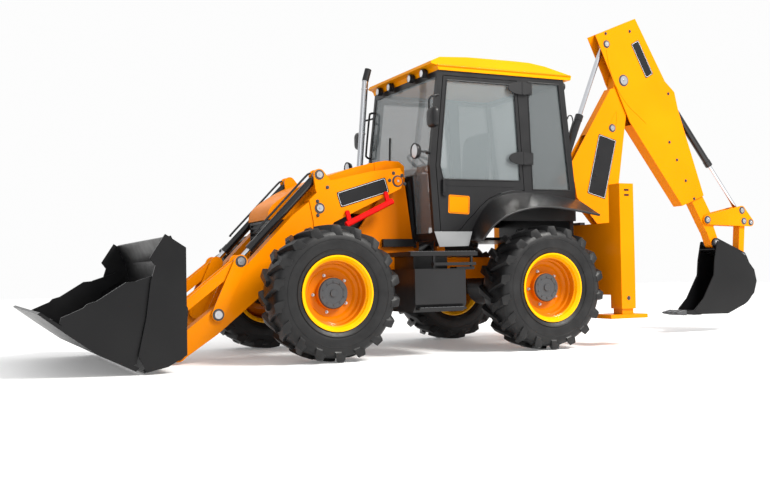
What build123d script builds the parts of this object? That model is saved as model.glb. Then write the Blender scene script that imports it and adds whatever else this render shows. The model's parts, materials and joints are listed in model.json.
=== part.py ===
"""Backhoe loader: four-wheel-steer machine with a clamshell shovel and an extending rear arm.

Millimetres and degrees.  +X is forward, +Y is the machine's left, +Z is up.  The ground is Z = 0.
Outlines and pins are given as (x, z), with x measured ahead of the rear axle.
"""
from build123d import *
from math import atan2, cos, degrees, hypot, radians, sin
import os

os.makedirs("parts", exist_ok=True)

# ---- driving dimensions -------------------------------------------------------------------
rear_axle_x = -452      # the rear axle sits this far behind the middle of the machine's length
wheelbase = 2200
track = 1914
pin_gap = 5             # side play between a fork and the eye in it
seat_gap = 0.3          # play between a seat and what sits, turns or slides in it
door_gap = 7            # play round a door leaf

# hydraulic rams
ram_wall = 11           # barrel wall
gland = 40              # length of the bush that the rod slides in

# wheels
tyre_radius = 593
tyre_width = 440
rim_radius = 327
rim_width = 400
lug_height = 34
lug_count = 18
kingpin_y = 800

# loader arms: one box each side of the bonnet
arm_inner_y = 335
arm_outer_y = 465
arm_pivot = (1288, 1634)
lift_ram_foot = (1400, 640)
lift_ram_head = (2090, 1366)
tilt_ram_foot = (2088, 1675)
crank_top = (2850, 885)
crank_foot = (3061, 420)
shovel_link = (3385, 470)
shovel_hinge = (3415, 97)
clam_pivot = (3645, 760)
shovel_half = 1180
shovel_plate = 20

# rear arm
boom_half = 57
boom_foot = (-1560, 640)
boom_ram_foot = (-1485, 1000)
boom_ram_head = (-1616, 2341)
dipper_pivot = (-1777, 2886)
dipper_ram_foot = (-905, 1735)
dipper_ram_head = (-1549, 3281)
dipper_half = 75
dipper_plate = 10
bucket_ram_foot = (-2436, 2775)
bucket_ram_head = (-3517, 1434)
lever_pivot = (-2965, 1317)
lever_link = (-3545, 1305)
bucket_hinge = (-3095, 1045)
bucket_link = (-3512, 885)
bucket_half = 138
slew_x = -1360

# cab
cab_half = 720
cab_wall = 45
floor_z = 1090
roof_z = 2680

# stabilisers
leg_box = 170
leg_outer_y = 1170
leg_front_x = -795
leg_bottom_z = 365
leg_top_z = 1600


# ---- helpers ------------------------------------------------------------------------------
def side(y):
    """Drawing plane at Y = y: x ahead of the rear axle, z above the ground, facing -Y."""
    return Plane(origin=(rear_axle_x, y, 0), x_dir=(1, 0, 0), z_dir=(0, -1, 0))


def across(x):
    """Drawing plane across the machine, x ahead of the rear axle: (y, z), facing forward."""
    return Plane(origin=(rear_axle_x + x, 0, 0), x_dir=(0, 1, 0), z_dir=(1, 0, 0))


def level(z):
    """Drawing plane at height z: (x ahead of the rear axle, y), facing up."""
    return Plane(origin=(rear_axle_x, 0, z), x_dir=(1, 0, 0), z_dir=(0, 0, 1))


def plate(outline, y_out, y_in, mode=Mode.ADD, inset=0):
    """Flat plate with a straight-sided outline, drawn in by the inset, between two Y planes."""
    with BuildSketch(side(y_out)) as face:
        with BuildLine():
            Polyline(*outline, close=True)
        make_face()
        if inset:
            offset(amount=-inset, kind=Kind.INTERSECTION)
    extrude(face.sketch, amount=y_out - y_in, mode=mode)


def curved_plate(outline, curve, y_out, y_in, mode=Mode.ADD):
    """Plate whose outline runs round straight corners and closes along a smooth curve."""
    with BuildSketch(side(y_out)) as face:
        with BuildLine():
            Polyline(curve[-1], *outline, curve[0])
            Spline(*curve)
        make_face()
    extrude(face.sketch, amount=y_out - y_in, mode=mode)


def strap(ends, y_out, y_in, mode=Mode.ADD):
    """Plate wrapped round circles (x, z, radius), between two Y planes."""
    with BuildSketch(side(y_out)) as face:
        for x, z, radius in ends:
            with Locations((x, z)):
                Circle(radius)
        if len(ends) > 1:
            make_hull()
    extrude(face.sketch, amount=y_out - y_in, mode=mode)


def boss(point, radius, y_out, y_in, mode=Mode.ADD):
    """Round boss, pin or bore across the machine."""
    with BuildSketch(side(y_out)) as face:
        with Locations(point):
            Circle(radius)
    extrude(face.sketch, amount=y_out - y_in, mode=mode)


def block(x_span, y_span, z_span, mode=Mode.ADD):
    """Box between two x, two y and two z values."""
    with BuildSketch(level(z_span[0])) as face:
        with Locations(((x_span[0] + x_span[1]) / 2, (y_span[0] + y_span[1]) / 2)):
            Rectangle(x_span[1] - x_span[0], y_span[1] - y_span[0])
    extrude(face.sketch, amount=z_span[1] - z_span[0], mode=mode)


def post(centre, radius, z_span, mode=Mode.ADD):
    """Upright round bar or bore at (x, y)."""
    with BuildSketch(level(z_span[0])) as face:
        with Locations(centre):
            Circle(radius)
    extrude(face.sketch, amount=z_span[1] - z_span[0], mode=mode)


def both(outward, *values):
    """Y values on one side of the machine, the larger first."""
    return sorted((outward * value for value in values), reverse=True)


def point_on(start, end, distance):
    """Point on the line from start to end, this far from start."""
    share = distance / hypot(end[0] - start[0], end[1] - start[1])
    return (start[0] + (end[0] - start[0]) * share, start[1] + (end[1] - start[1]) * share)


def tube(start, end, radius, y, mode=Mode.ADD):
    """Round bar from start to end in the plane Y = y."""
    run = Vector(end[0] - start[0], 0, end[1] - start[1])
    with BuildSketch(Plane(origin=(rear_axle_x + start[0], y, start[1]), z_dir=run)) as face:
        Circle(radius)
    extrude(face.sketch, amount=run.length, mode=mode)


def ram_barrel(foot, head, y, radius, rod, length, eye_radius, eye_half, pin_radius):
    """Cylinder barrel from its foot eye towards the head, bored for the rod and its gland."""
    boss(foot, eye_radius, y + eye_half, y - eye_half)
    tube(point_on(foot, head, eye_radius * 0.7), point_on(foot, head, eye_radius + 30), eye_half - 2, y)
    tube(point_on(foot, head, eye_radius + 25), point_on(foot, head, length), radius, y)
    tube(point_on(foot, head, length - 70), point_on(foot, head, length - 4), radius + 4, y)
    tube(point_on(foot, head, eye_radius + 45), point_on(foot, head, length - gland), radius - ram_wall, y,
         Mode.SUBTRACT)
    tube(point_on(foot, head, length - gland - 1), point_on(foot, head, length + 1), rod + seat_gap, y,
         Mode.SUBTRACT)
    boss(foot, pin_radius, y + eye_half, y - eye_half, Mode.SUBTRACT)


def ram_rod(foot, head, y, radius, start, eye_radius, eye_half, pin_radius, pin_half):
    """Chrome rod from inside the barrel to its eye, with the pin that the eye turns on."""
    boss(head, eye_radius, y + eye_half, y - eye_half)
    boss(head, pin_radius, y + pin_half, y - pin_half)
    length = hypot(head[0] - foot[0], head[1] - foot[1])
    tube(point_on(foot, head, start), point_on(foot, head, length - eye_radius * 0.7), radius, y)


def save(name, builder):
    """Label a finished piece and write it."""
    builder.part.label = name
    export_step(builder.part, f"parts/{name}.step")


# ---- wheels -------------------------------------------------------------------------------
lug_bottom = tyre_radius - lug_height
half_rim = rim_width / 2
half_tyre = tyre_width / 2
lug_lean = 62           # each bar runs this far forward and back of its middle


wheel_section = Plane(origin=(0, 0, 0), x_dir=(0, 1, 0), z_dir=(1, 0, 0))   # (across the wheel, radius)

with BuildPart() as lugs:
    for row in (-1, 1):
        for count in range(lug_count):
            angle = radians(360 / lug_count * (count + 0.25 * row))
            out = Vector(sin(angle), 0, cos(angle))
            with BuildSketch(Plane(origin=out * (lug_bottom - 95), x_dir=(0, 1, 0), z_dir=out)):
                with BuildLine():
                    Polyline(
                        (-12 * row, -lug_lean - 20), (-12 * row, -lug_lean + 20),
                        (row * (half_tyre + 4), lug_lean + 22), (row * (half_tyre + 4), lug_lean - 30),
                        close=True)
                make_face()
            extrude(amount=lug_height + 120)
    with BuildSketch(wheel_section):
        with BuildLine():
            Polyline(
                (-half_tyre, lug_bottom - 75), (-half_tyre + 6, lug_bottom - 20),
                (-half_tyre + 42, tyre_radius - 4), (0, tyre_radius),
                (half_tyre - 42, tyre_radius - 4), (half_tyre - 6, lug_bottom - 20),
                (half_tyre, lug_bottom - 75), (half_tyre - 60, lug_bottom - 75),
                (half_tyre - 60, lug_bottom - 30), (-half_tyre + 60, lug_bottom - 30),
                (-half_tyre + 60, lug_bottom - 75), close=True)
        make_face()
    revolve(axis=Axis.Y, mode=Mode.INTERSECT)

bead = 14.5             # depth of the seat that the tyre's foot lies on, with its play
with BuildPart() as tyre:
    with BuildSketch(wheel_section):
        with BuildLine():
            Polyline(
                (-half_rim + bead, rim_radius - 24.5), (-half_rim + bead, rim_radius + 1),
                (-half_tyre + 14, rim_radius + 30), (-half_tyre + 4, 445), (-half_tyre + 12, 505),
                (-half_tyre + 52, lug_bottom - 8), (0, lug_bottom), (half_tyre - 52, lug_bottom - 8),
                (half_tyre - 12, 505), (half_tyre - 4, 445), (half_tyre - 14, rim_radius + 30),
                (half_rim - bead, rim_radius + 1), (half_rim - bead, rim_radius - 24.5), close=True)
        make_face()
    revolve(axis=Axis.Y)
    add(lugs.part)

with BuildPart() as rim:
    with BuildSketch(wheel_section):
        with BuildLine():
            Polyline(
                (-half_rim, rim_radius), (-half_rim + 12, rim_radius), (-half_rim + 14, rim_radius - 25),
                (half_rim - 14, rim_radius - 25), (half_rim - 12, rim_radius), (half_rim, rim_radius),
                (half_rim, rim_radius - 14), (half_rim - 25, rim_radius - 35), (148, rim_radius - 40),
                (140, rim_radius - 52), (86, rim_radius - 56), (80, 256), (46, 248), (40, 222), (22, 205), (22, 144),
                (72, 140), (80, 132), (80, 0), (-6, 0), (-6, 190), (10, 235), (62, 268), (62, rim_radius - 50),
                (-half_rim + 30, rim_radius - 40),
                (-half_rim, rim_radius - 14), close=True)
        make_face()
    revolve(axis=Axis.Y)


jaw_half = 110          # half the opening of the fork that holds the kingpin


def knuckle_piece(name, wheel_x, outward):
    """Steering knuckle between the axle's fork and the wheel."""
    with BuildPart() as knuckle:
        hub_in = outward * (kingpin_y + 65)
        hub_out = outward * (track / 2 - 6 - seat_gap)
        with BuildSketch(Plane(origin=(rear_axle_x + wheel_x, hub_in, tyre_radius), z_dir=(0, outward, 0))):
            Circle(130)
        extrude(amount=abs(hub_out - hub_in))
        with BuildSketch(Plane(origin=(rear_axle_x + wheel_x, outward * kingpin_y, tyre_radius - jaw_half + seat_gap))):
            Circle(62)
        extrude(amount=2 * (jaw_half - seat_gap))
        block((wheel_x - 45, wheel_x + 45), sorted((outward * kingpin_y, outward * (kingpin_y + 70))),
              (tyre_radius - 105, tyre_radius + 105))
    save(name, knuckle)


rail_inner_y = 250
rail_outer_y = 315
rail_bottom_z = 690
rail_top_z = 900
wheels = [("front_left", wheelbase, 1), ("front_right", wheelbase, -1),
          ("rear_left", 0, 1), ("rear_right", 0, -1)]
for corner, wheel_x, outward in wheels:
    place = Location((rear_axle_x + wheel_x, outward * track / 2, tyre_radius), (0, 0, 90 - 90 * outward))
    for kind, master in (("tyre", tyre), ("rim", rim)):
        with BuildPart() as placed:
            add(master.part.moved(place))
        save(f"{kind}_{corner}", placed)
    knuckle_piece(f"knuckle_{corner}", wheel_x, outward)

for name, axle_x in (("front_axle", wheelbase), ("rear_axle", 0)):
    with BuildPart() as axle:
        with BuildSketch(Plane(origin=(rear_axle_x + axle_x, -kingpin_y + 110, tyre_radius), z_dir=(0, 1, 0))):
            Circle(78)
        extrude(amount=2 * kingpin_y - 220)
        with BuildSketch(Plane(origin=(rear_axle_x + axle_x, -150, tyre_radius), z_dir=(0, 1, 0))):
            Circle(185)
        extrude(amount=300)
        for outward in (-1, 1):
            seat_y = sorted((outward * rail_inner_y, outward * rail_outer_y))
            block((axle_x - 90, axle_x + 90), seat_y, (tyre_radius, rail_bottom_z))
            web = sorted((outward * (kingpin_y - 120), outward * (kingpin_y - 75)))
            block((axle_x - 55, axle_x + 55), web, (tyre_radius - 150, tyre_radius + 150))
            for jaw_z in (tyre_radius + jaw_half, tyre_radius - jaw_half - 40):
                block((axle_x - 55, axle_x + 55), sorted((outward * (kingpin_y - 120), outward * kingpin_y)),
                      (jaw_z, jaw_z + 40))
                with BuildSketch(level(jaw_z)):
                    with Locations((axle_x, outward * kingpin_y)):
                        Circle(55)
                extrude(amount=40)
    save(name, axle)

# ---- chassis ------------------------------------------------------------------------------
tower_outer_y = arm_inner_y - pin_gap
tower_plate = 28
tow_bore = 18
tower_outline = [(1150, 1690), (1050, 945), (1075, 640), (1900, 640), (1900, 980), (1640, 1180),
                 (1400, 1500), (1380, 1690), (1310, 1735), (1230, 1735)]
lift_pin = 29           # bores of the ram feet
tilt_pin = 24
floor_bottom_z = 1060
with BuildPart() as chassis:
    for outward in (-1, 1):
        rail = sorted((outward * rail_inner_y, outward * rail_outer_y))
        block((leg_front_x, 2640), rail, (rail_bottom_z, rail_top_z))
        plate(tower_outline, *both(outward, tower_outer_y - tower_plate, tower_outer_y))
        boss(arm_pivot, 42 - seat_gap, *both(outward, tower_outer_y - tower_plate, arm_outer_y + 22))
        strap([(*lift_ram_foot, 60), (1400, 700, 60)], *both(outward, 300, 352))
        boss(lift_ram_foot, lift_pin - seat_gap, *both(outward, 330, 450))
        for low_x, high_x in ((-400, -310), (700, 790)):
            block((low_x, high_x), rail, (rail_top_z, floor_bottom_z))
    for low_x, high_x in ((leg_front_x, leg_front_x + 60), (900, 1000), (2590, 2640)):
        block((low_x, high_x), (-rail_outer_y, rail_outer_y), (rail_bottom_z, rail_top_z))
    block((1140, 1180), (-tower_outer_y, tower_outer_y), (rail_bottom_z, 1690))
    block((2635, 2740), (-60, 60), (770, 810))
    post((2700, 0), tow_bore, (770, 810), Mode.SUBTRACT)
save("chassis", chassis)

exhaust_foot = (1400, -250)
with BuildPart() as engine:
    block((1350, 2300), (-rail_inner_y, rail_inner_y), (810, 1300))
    post(exhaust_foot, 38, (1290, 1360))
save("engine", engine)

# bonnet: a lid over the engine, hinged at its rear edge to a fixed cowl between the towers
bonnet_half = tower_outer_y - tower_plate - 6
cowl_half = tower_outer_y - tower_plate
bonnet_wall = 12
bonnet_bottom_z = 1330
cowl_front_x = 1450
cowl_top_z = 1827
bonnet_hinge = (1450.15, 1828)
hinge_barrel = 6
exhaust_run = [(1400, 1340), (1283, 2730), (1247, 2852)]
cowl_side = [(1186, bonnet_bottom_z), (1186, 1697), (1130, 1700), (1130, 1800), (1190, 1845), (1340, 1849),
             (cowl_front_x, cowl_top_z), (cowl_front_x, bonnet_bottom_z)]
with BuildPart() as cowl:
    plate(cowl_side, cowl_half, -cowl_half)
    plate(cowl_side, cowl_half - bonnet_wall, bonnet_wall - cowl_half, Mode.SUBTRACT, inset=bonnet_wall)
    block((1186 + bonnet_wall, cowl_front_x - bonnet_wall), (bonnet_wall - cowl_half, cowl_half - bonnet_wall),
          (bonnet_bottom_z - 10, bonnet_bottom_z + 20), Mode.SUBTRACT)
    tube(exhaust_run[0], exhaust_run[1], 38, exhaust_foot[1], Mode.SUBTRACT)
    for hinge_y in (-200, 140):
        boss(bonnet_hinge, hinge_barrel + seat_gap, hinge_y + 60 + pin_gap, hinge_y - pin_gap, Mode.SUBTRACT)
save("rear_cowl", cowl)

bonnet_top = [(2532, 1300), (2515, 1362), (2400, 1468), (2211, 1580), (1951, 1680), (1742, 1750),
              (cowl_front_x + seat_gap, cowl_top_z)]
bonnet_inside = [(2532 - bonnet_wall, 1290), (2502, 1358), (2392, 1458), (2206, 1568), (1948, 1668), (1740, 1738),
                 (cowl_front_x - 1, cowl_top_z - bonnet_wall)]
with BuildPart() as bonnet:
    curved_plate([(cowl_front_x + seat_gap, bonnet_bottom_z), (2300, bonnet_bottom_z), (2340, 1270), (2532, 1270)],
                 bonnet_top, bonnet_half, -bonnet_half)
    curved_plate([(cowl_front_x - 1, bonnet_bottom_z - 90), (2532 - bonnet_wall, bonnet_bottom_z - 90)],
                 bonnet_inside, bonnet_half - bonnet_wall, bonnet_wall - bonnet_half, Mode.SUBTRACT)
    for hinge_y in (-200, 140):
        boss(bonnet_hinge, hinge_barrel, hinge_y + 60, hinge_y)
save("bonnet", bonnet)

grille_front_x = 2520
with BuildPart() as grille:
    block((2330, grille_front_x), (-290, 290), (rail_top_z, 1262))
    for count in range(8):
        block((grille_front_x - 14, grille_front_x + 1), (-262, 262), (930 + 41 * count, 952 + 41 * count),
              Mode.SUBTRACT)
save("grille", grille)

with BuildPart() as exhaust:
    post(exhaust_foot, 32, (1360, 1420))
    tube((1400, 1400), exhaust_run[1], 32, exhaust_foot[1])
    tube(point_on(exhaust_run[2], exhaust_run[1], hypot(36, 122) + 12), exhaust_run[2], 32, exhaust_foot[1])
    tube(point_on(exhaust_run[2], exhaust_run[1], 60), point_on(exhaust_run[2], exhaust_run[1], -1), 27,
         exhaust_foot[1], Mode.SUBTRACT)
save("exhaust", exhaust)

# ---- loader -------------------------------------------------------------------------------
arm_front = [(2150, 1000), (2150, 1456), (2358, 1293), (2826, 816), (3010, 540), (3335, 296), (3440, 175),
             (3400, 24), (3063, 248), (2648, 587)]
arm_rear = [(1250, 1566), (1225, 1700), (1262, 1762), (1560, 1722), (1990, 1622), (2060, 1560), (2190, 1440),
            (2150, 1236), (2150, 1000), (1950, 1237)]
crank_plate = 20
pin_side = crank_plate + pin_gap
lift_slot = 15          # cheek left on each side of the slot that the lift ram works in
skin = 8                # doubler plate outside the rear of each arm
with BuildPart() as arms:
    plate(arm_front, arm_outer_y, arm_inner_y)
    plate(arm_rear, arm_outer_y + skin, arm_inner_y)
    strap([(*shovel_hinge, 75), (3330, 170, 75)], arm_outer_y, arm_inner_y)
    boss(shovel_hinge, 45, arm_outer_y + pin_gap - seat_gap, arm_inner_y - pin_gap + seat_gap)
    for cheek in ((arm_outer_y + skin, arm_outer_y - 18), (arm_inner_y + 18, arm_inner_y)):
        strap([(*tilt_ram_foot, 55), (2040, 1560, 90)], *cheek)
    boss(tilt_ram_foot, tilt_pin - seat_gap, arm_outer_y, arm_inner_y)
    boss((2840, 500), 50, arm_inner_y + 10, -10)
    strap([(*lift_ram_head, 105), (1940, 1200, 110), (1880, 1000, 110), (1750, 1330, 70)],
          arm_outer_y - lift_slot, arm_inner_y + lift_slot, Mode.SUBTRACT)
    boss(arm_pivot, 42, arm_outer_y + skin, arm_inner_y, Mode.SUBTRACT)
    boss(crank_foot, 32 - seat_gap, arm_outer_y + pin_side, arm_inner_y - pin_side)
    mirror(about=Plane.XZ)
save("loader_arms", arms)

strut_y = arm_outer_y + skin + 32
with BuildPart() as strut:
    tube((1362, 1440), (1841, 1212), 28, strut_y)
    for low, high in (((1400, 1422), (1425, 1512)), ((1800, 1232), (1822, 1330))):
        strap([(*low, 18), (*high, 18)], strut_y, arm_outer_y + skin + seat_gap)
save("safety_strut", strut)

arm_middle_y = (arm_inner_y + arm_outer_y) / 2
lift_pin_half = (arm_outer_y - arm_inner_y) / 2 - lift_slot - seat_gap
with BuildPart() as lift_barrels:
    ram_barrel(lift_ram_foot, lift_ram_head, arm_middle_y, 40, 25, 860, 48, 34, lift_pin)
    mirror(about=Plane.XZ)
save("lift_ram_barrels", lift_barrels)
with BuildPart() as lift_rods:
    ram_rod(lift_ram_foot, lift_ram_head, arm_middle_y, 25, 110, 42, 30, 28, lift_pin_half)
    mirror(about=Plane.XZ)
save("lift_ram_rods", lift_rods)
with BuildPart() as tilt_barrels:
    ram_barrel(tilt_ram_foot, crank_top, arm_middle_y, 38, 25, 955, 42, 27, tilt_pin)
    mirror(about=Plane.XZ)
save("tilt_ram_barrels", tilt_barrels)
with BuildPart() as tilt_rods:
    ram_rod(tilt_ram_foot, crank_top, arm_middle_y, 25, 110, 42, 27, 24,
            (arm_outer_y - arm_inner_y) / 2 - 18 - seat_gap)
    mirror(about=Plane.XZ)
save("tilt_ram_rods", tilt_rods)

link_plate = 18
crank_sides = ((arm_outer_y + pin_side, arm_outer_y + pin_gap, arm_outer_y - link_plate),
               (arm_inner_y - pin_gap, arm_inner_y - pin_side, arm_inner_y + link_plate))
with BuildPart() as cranks:
    for y_out, y_in, pin_end in crank_sides:
        strap([(*crank_top, 60), (*crank_foot, 60)], y_out, y_in)
        boss(crank_foot, 32, y_out, y_in, Mode.SUBTRACT)
        boss(crank_top, 26 - seat_gap, max(y_out, pin_end), min(y_in, pin_end))
    mirror(about=Plane.XZ)
save("tilt_cranks", cranks)

with BuildPart() as links:
    for y_out, y_in, pin_out, pin_in in (
            (arm_outer_y, arm_outer_y - link_plate, arm_outer_y + pin_gap - seat_gap, arm_outer_y - link_plate),
            (arm_inner_y + link_plate, arm_inner_y, arm_inner_y + link_plate, arm_inner_y - pin_gap + seat_gap)):
        strap([(*crank_top, 45), (*shovel_link, 42)], y_out, y_in)
        boss(crank_top, 26, y_out, y_in, Mode.SUBTRACT)
        boss(shovel_link, 26, pin_out, pin_in)
    mirror(about=Plane.XZ)
save("tilt_links", links)

# shovel: rear blade that hangs on the arms
blade_side = [(3669, 1097), (3505, 990), (3506, 140), (3656, 56), (3825, 20), (3886, 152), (3822, 447),
              (3785, 732), (3748, 850), (3791, 910)]
with BuildPart() as blade:
    for outward in (-1, 1):
        cheek = sorted((outward * shovel_half, outward * (shovel_half - shovel_plate)), reverse=True)
        plate(blade_side, *cheek)
    inner = shovel_half - shovel_plate
    with BuildSketch(side(inner)):
        with BuildLine():
            Line((3640, 1075), (3560, 900))
            ThreePointArc((3560, 900), (3530, 560), (3640, 190))
            Line((3640, 190), (3850, 40))
            Line((3850, 40), (3838, 14))
            Line((3838, 14), (3676, 92))
            Line((3676, 92), (3512, 166))
            Line((3512, 166), (3514, 536))
            Line((3514, 536), (3530, 900))
            Line((3530, 900), (3620, 1086))
            Line((3620, 1086), (3640, 1075))
        make_face()
    extrude(amount=2 * inner)
    for y_out, y_in in ((arm_outer_y + pin_gap + crank_plate, arm_outer_y + pin_gap),
                        (arm_inner_y - pin_gap, arm_inner_y - pin_gap - crank_plate)):
        for outward in (-1, 1):
            ear = sorted((outward * y_out, outward * y_in), reverse=True)
            strap([(*shovel_hinge, 58), (*shovel_link, 58), (3530, 560, 40), (3530, 200, 40)], *ear)
save("shovel_blade", blade)

clam_side = [(3780, 738), (3968, 724), (4192, 584), (4262, 564), (4290, 535), (4452, 466), (4462, 425),
             (4407, 365), (4185, 190), (3960, 75), (3895, 90), (3840, 330)]
clam_outer = shovel_half - shovel_plate - 8
with BuildPart() as clam:
    for outward in (-1, 1):
        cheek = sorted((outward * clam_outer, outward * (clam_outer - 22)), reverse=True)
        plate(clam_side, *cheek)
        strap([(*clam_pivot, 50), (3860, 690, 50), (3860, 640, 50)], *cheek)
        boss(clam_pivot, 45, *both(outward, shovel_half - shovel_plate - seat_gap, clam_outer - 22))
    plate([(3875, 60), (3900, 30), (4190, 175), (4420, 345), (4620, 500), (4600, 512), (4400, 372), (4180, 205)],
          clam_outer, -clam_outer)
save("shovel_clam", clam)

# ---- cab ----------------------------------------------------------------------------------
header_z = roof_z - 60          # underside of the bars over the glass
glass = 8
pane_depth = 12                 # the panes lie this far inside the frame's face
cab_inner = cab_half - cab_wall
dash_half = 345
dash_top_z = 1700
sill_z = 1130
cab_side = [(1030, floor_z), (1070, 1770), (960, roof_z), (-480, roof_z), (-600, 1560), (-600, 1250), (430, 1250),
            (620, floor_z)]
door_hole = [(965, 1138), (1005, 1770), (910, roof_z - 45), (78, roof_z - 45), (12, 1545), (143, 1545),
             (300, 1510), (430, 1455), (530, 1375), (600, 1300), (670, 1240), (740, 1165), (790, 1138)]
rear_hole = [(-48, roof_z - 50), (-420, roof_z - 50), (-535, 1560), (-84, 1560)]
hinge_x = 30
hinge_y = cab_half + 17
hinge_pin = 8
hinge_heights = (1865, 2560)


def hinge_leaf(outward, x_span, middle_z, half):
    """Flat hinge leaf on the outer face of the cab, out to the pin."""
    block(x_span, sorted((outward * cab_half, outward * (hinge_y - 2))), (middle_z - half, middle_z + half))


with BuildPart() as cab_frame:
    for outward in (-1, 1):
        wall = both(outward, cab_half, cab_inner)
        plate(cab_side, *wall)
        plate(door_hole, *wall, Mode.SUBTRACT)
        plate(rear_hole, *wall, Mode.SUBTRACT)
        for middle_z in hinge_heights:
            hinge_leaf(outward, (-90, 0), middle_z, 60)
            for low, high in ((-60, -25 - seat_gap), (25 + seat_gap, 60)):
                post((hinge_x, outward * hinge_y), 14, (middle_z + low, middle_z + high))
                hinge_leaf(outward, (-10, hinge_x), middle_z + (low + high) / 2, (high - low) / 2)
            post((hinge_x, outward * hinge_y), hinge_pin - seat_gap, (middle_z - 50, middle_z + 50))
    plate([(1032, sill_z), (1030, floor_z), (985, floor_z), (987, sill_z)], cab_inner, -cab_inner)
    plate([(1065, dash_top_z), (1030, floor_z), (985, floor_z), (1020, dash_top_z)], dash_half, -dash_half)
    plate([(960, roof_z), (967, header_z), (920, header_z), (913, roof_z)], cab_inner, -cab_inner)
    plate([(-480, roof_z), (-487, header_z), (-440, header_z), (-433, roof_z)], cab_inner, -cab_inner)
    plate([(-600, 1560), (-600, 1100), (-555, 1100), (-555, 1560)], cab_inner, -cab_inner)
    block((-600, 1030), (-600, 600), (floor_bottom_z, floor_z))
    for outward in (-1, 1):
        block((620, 1030), sorted((outward * 600, outward * (cab_inner + 12))), (floor_bottom_z, floor_z))
save("cab_frame", cab_frame)

roof_side = [(960, roof_z), (975, 2722), (1035, 2738), (1026, 2767), (908, 2821), (500, 2852), (0, 2866), (-300, 2815),
             (-510, 2745), (-570, 2722), (-560, roof_z)]
roof_half = 735
with BuildPart() as roof:
    plate(roof_side, roof_half, -roof_half)
    with BuildSketch(across(-600)) as section:
        with BuildLine():
            Polyline((-roof_half, roof_z - 1), (-roof_half, 2728), (-640, 2845), (-560, 2870), (560, 2870), (640, 2845),
                     (roof_half, 2728), (roof_half, roof_z - 1), close=True)
        make_face()
    extrude(section.sketch, amount=1700, mode=Mode.INTERSECT)
save("cab_roof", roof)

screen = [(1022, sill_z + seat_gap), (1060, 1770), (957.5, header_z - seat_gap), (949.5, header_z - seat_gap),
          (1052, 1770), (1014, sill_z + seat_gap)]
with BuildPart() as cab_glass:
    plate(screen, cab_inner - seat_gap, seat_gap - cab_inner)
    plate([(1080, sill_z - 10), (1080, dash_top_z + seat_gap), (980, dash_top_z + seat_gap), (980, sill_z - 10)],
          dash_half + seat_gap, -dash_half - seat_gap, Mode.SUBTRACT)
    plate([(-590, 1560 + seat_gap), (-476.5, header_z - seat_gap), (-468.5, header_z - seat_gap),
           (-582, 1560 + seat_gap)], cab_inner - seat_gap, seat_gap - cab_inner)
    for outward in (-1, 1):
        plate(rear_hole, *both(outward, cab_half - pane_depth, cab_half - pane_depth - glass), inset=seat_gap)
save("cab_glass", cab_glass)

door_window = [(925, 1640), (958, 1770), (868, roof_z - 90), (112, roof_z - 90), (56, 1640)]
for name, outward in (("door_left", 1), ("door_right", -1)):
    with BuildPart() as door:
        leaf = both(outward, cab_half, cab_half - 40)
        plate(door_hole, *leaf, inset=door_gap)
        plate(door_window, *leaf, Mode.SUBTRACT)
        for middle_z in hinge_heights:
            hinge_leaf(outward, (hinge_x, 150), middle_z, 25)
            post((hinge_x, outward * hinge_y), 14, (middle_z - 25, middle_z + 25))
            post((hinge_x, outward * hinge_y), hinge_pin, (middle_z - 26, middle_z + 26), Mode.SUBTRACT)
        with Locations((rear_axle_x + 930, outward * (cab_half + 14), 1576)):
            Box(26, 28, 120)
    save(name, door)
    with BuildPart() as pane:
        plate(door_window, *both(outward, cab_half - pane_depth, cab_half - pane_depth - glass), inset=seat_gap)
    save(f"{name}_glass", pane)


def lamp(x, y, z, radius, depth):
    """Round work lamp that looks forward, with its rim proud of the body."""
    for back, depth_here, size in ((depth, depth - 6, radius), (8, 8, radius - 5)):
        with BuildSketch(Plane(origin=(rear_axle_x + x - back, y, z), z_dir=(1, 0, 0))) as face:
            Circle(size)
        extrude(face.sketch, amount=depth_here)


with BuildPart() as lamps:
    for outward in (-1, 1):
        for lamp_y in (504, 237):
            lamp(1030, outward * lamp_y, roof_z, 43, 50)
        lamp(-505, outward * 600, roof_z - 44, 40, 60)
        block((-560, -510), sorted((outward * 585, outward * 615)), (roof_z - 20, roof_z))
        block((1075, 1400), sorted((outward * (tower_outer_y), outward * (tower_outer_y + 40))), (1010, 1085))
save("lamps", lamps)

mirror_arm = 9
with BuildPart() as mirrors:
    for outward in (-1, 1):
        tube((990, 2428), (1105, 2395), mirror_arm, outward * 800)
        tube((1105, 2400), (1105, 2290), mirror_arm, outward * 800)
        with BuildSketch(Plane(origin=(rear_axle_x + 990, outward * 810, 2428), z_dir=(0, -outward, 0))):
            Circle(mirror_arm + 2)
        extrude(amount=810 - cab_half)
        with Locations((rear_axle_x + 1105, outward * 850, 2200)):
            Box(60, 170, 190)
        tube((1098, 1884), (1245, 1884), mirror_arm, outward * 780)
        with BuildSketch(Plane(origin=(rear_axle_x + 1098, outward * 792, 1884), z_dir=(0, -outward, 0))):
            Circle(mirror_arm + 2)
        extrude(amount=792 - 686)
        tube((1057.4, 1884), (1107, 1884), mirror_arm, outward * 698)
        lamp(1275, outward * 800, 1884, 75, 60)
save("mirrors", mirrors)

with BuildPart() as seat:
    block((120, 560), (-230, 230), (1480, 1590))
    plate([(120, 1480), (60, 2150), (150, 2160), (230, 1590), (230, 1480)], 230, -230)
    block((220, 460), (-150, 150), (floor_z, 1480))
save("seat", seat)
with BuildPart() as console:
    block((780, 900), (-130, 130), (floor_z, 1750))
save("console", console)

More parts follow.
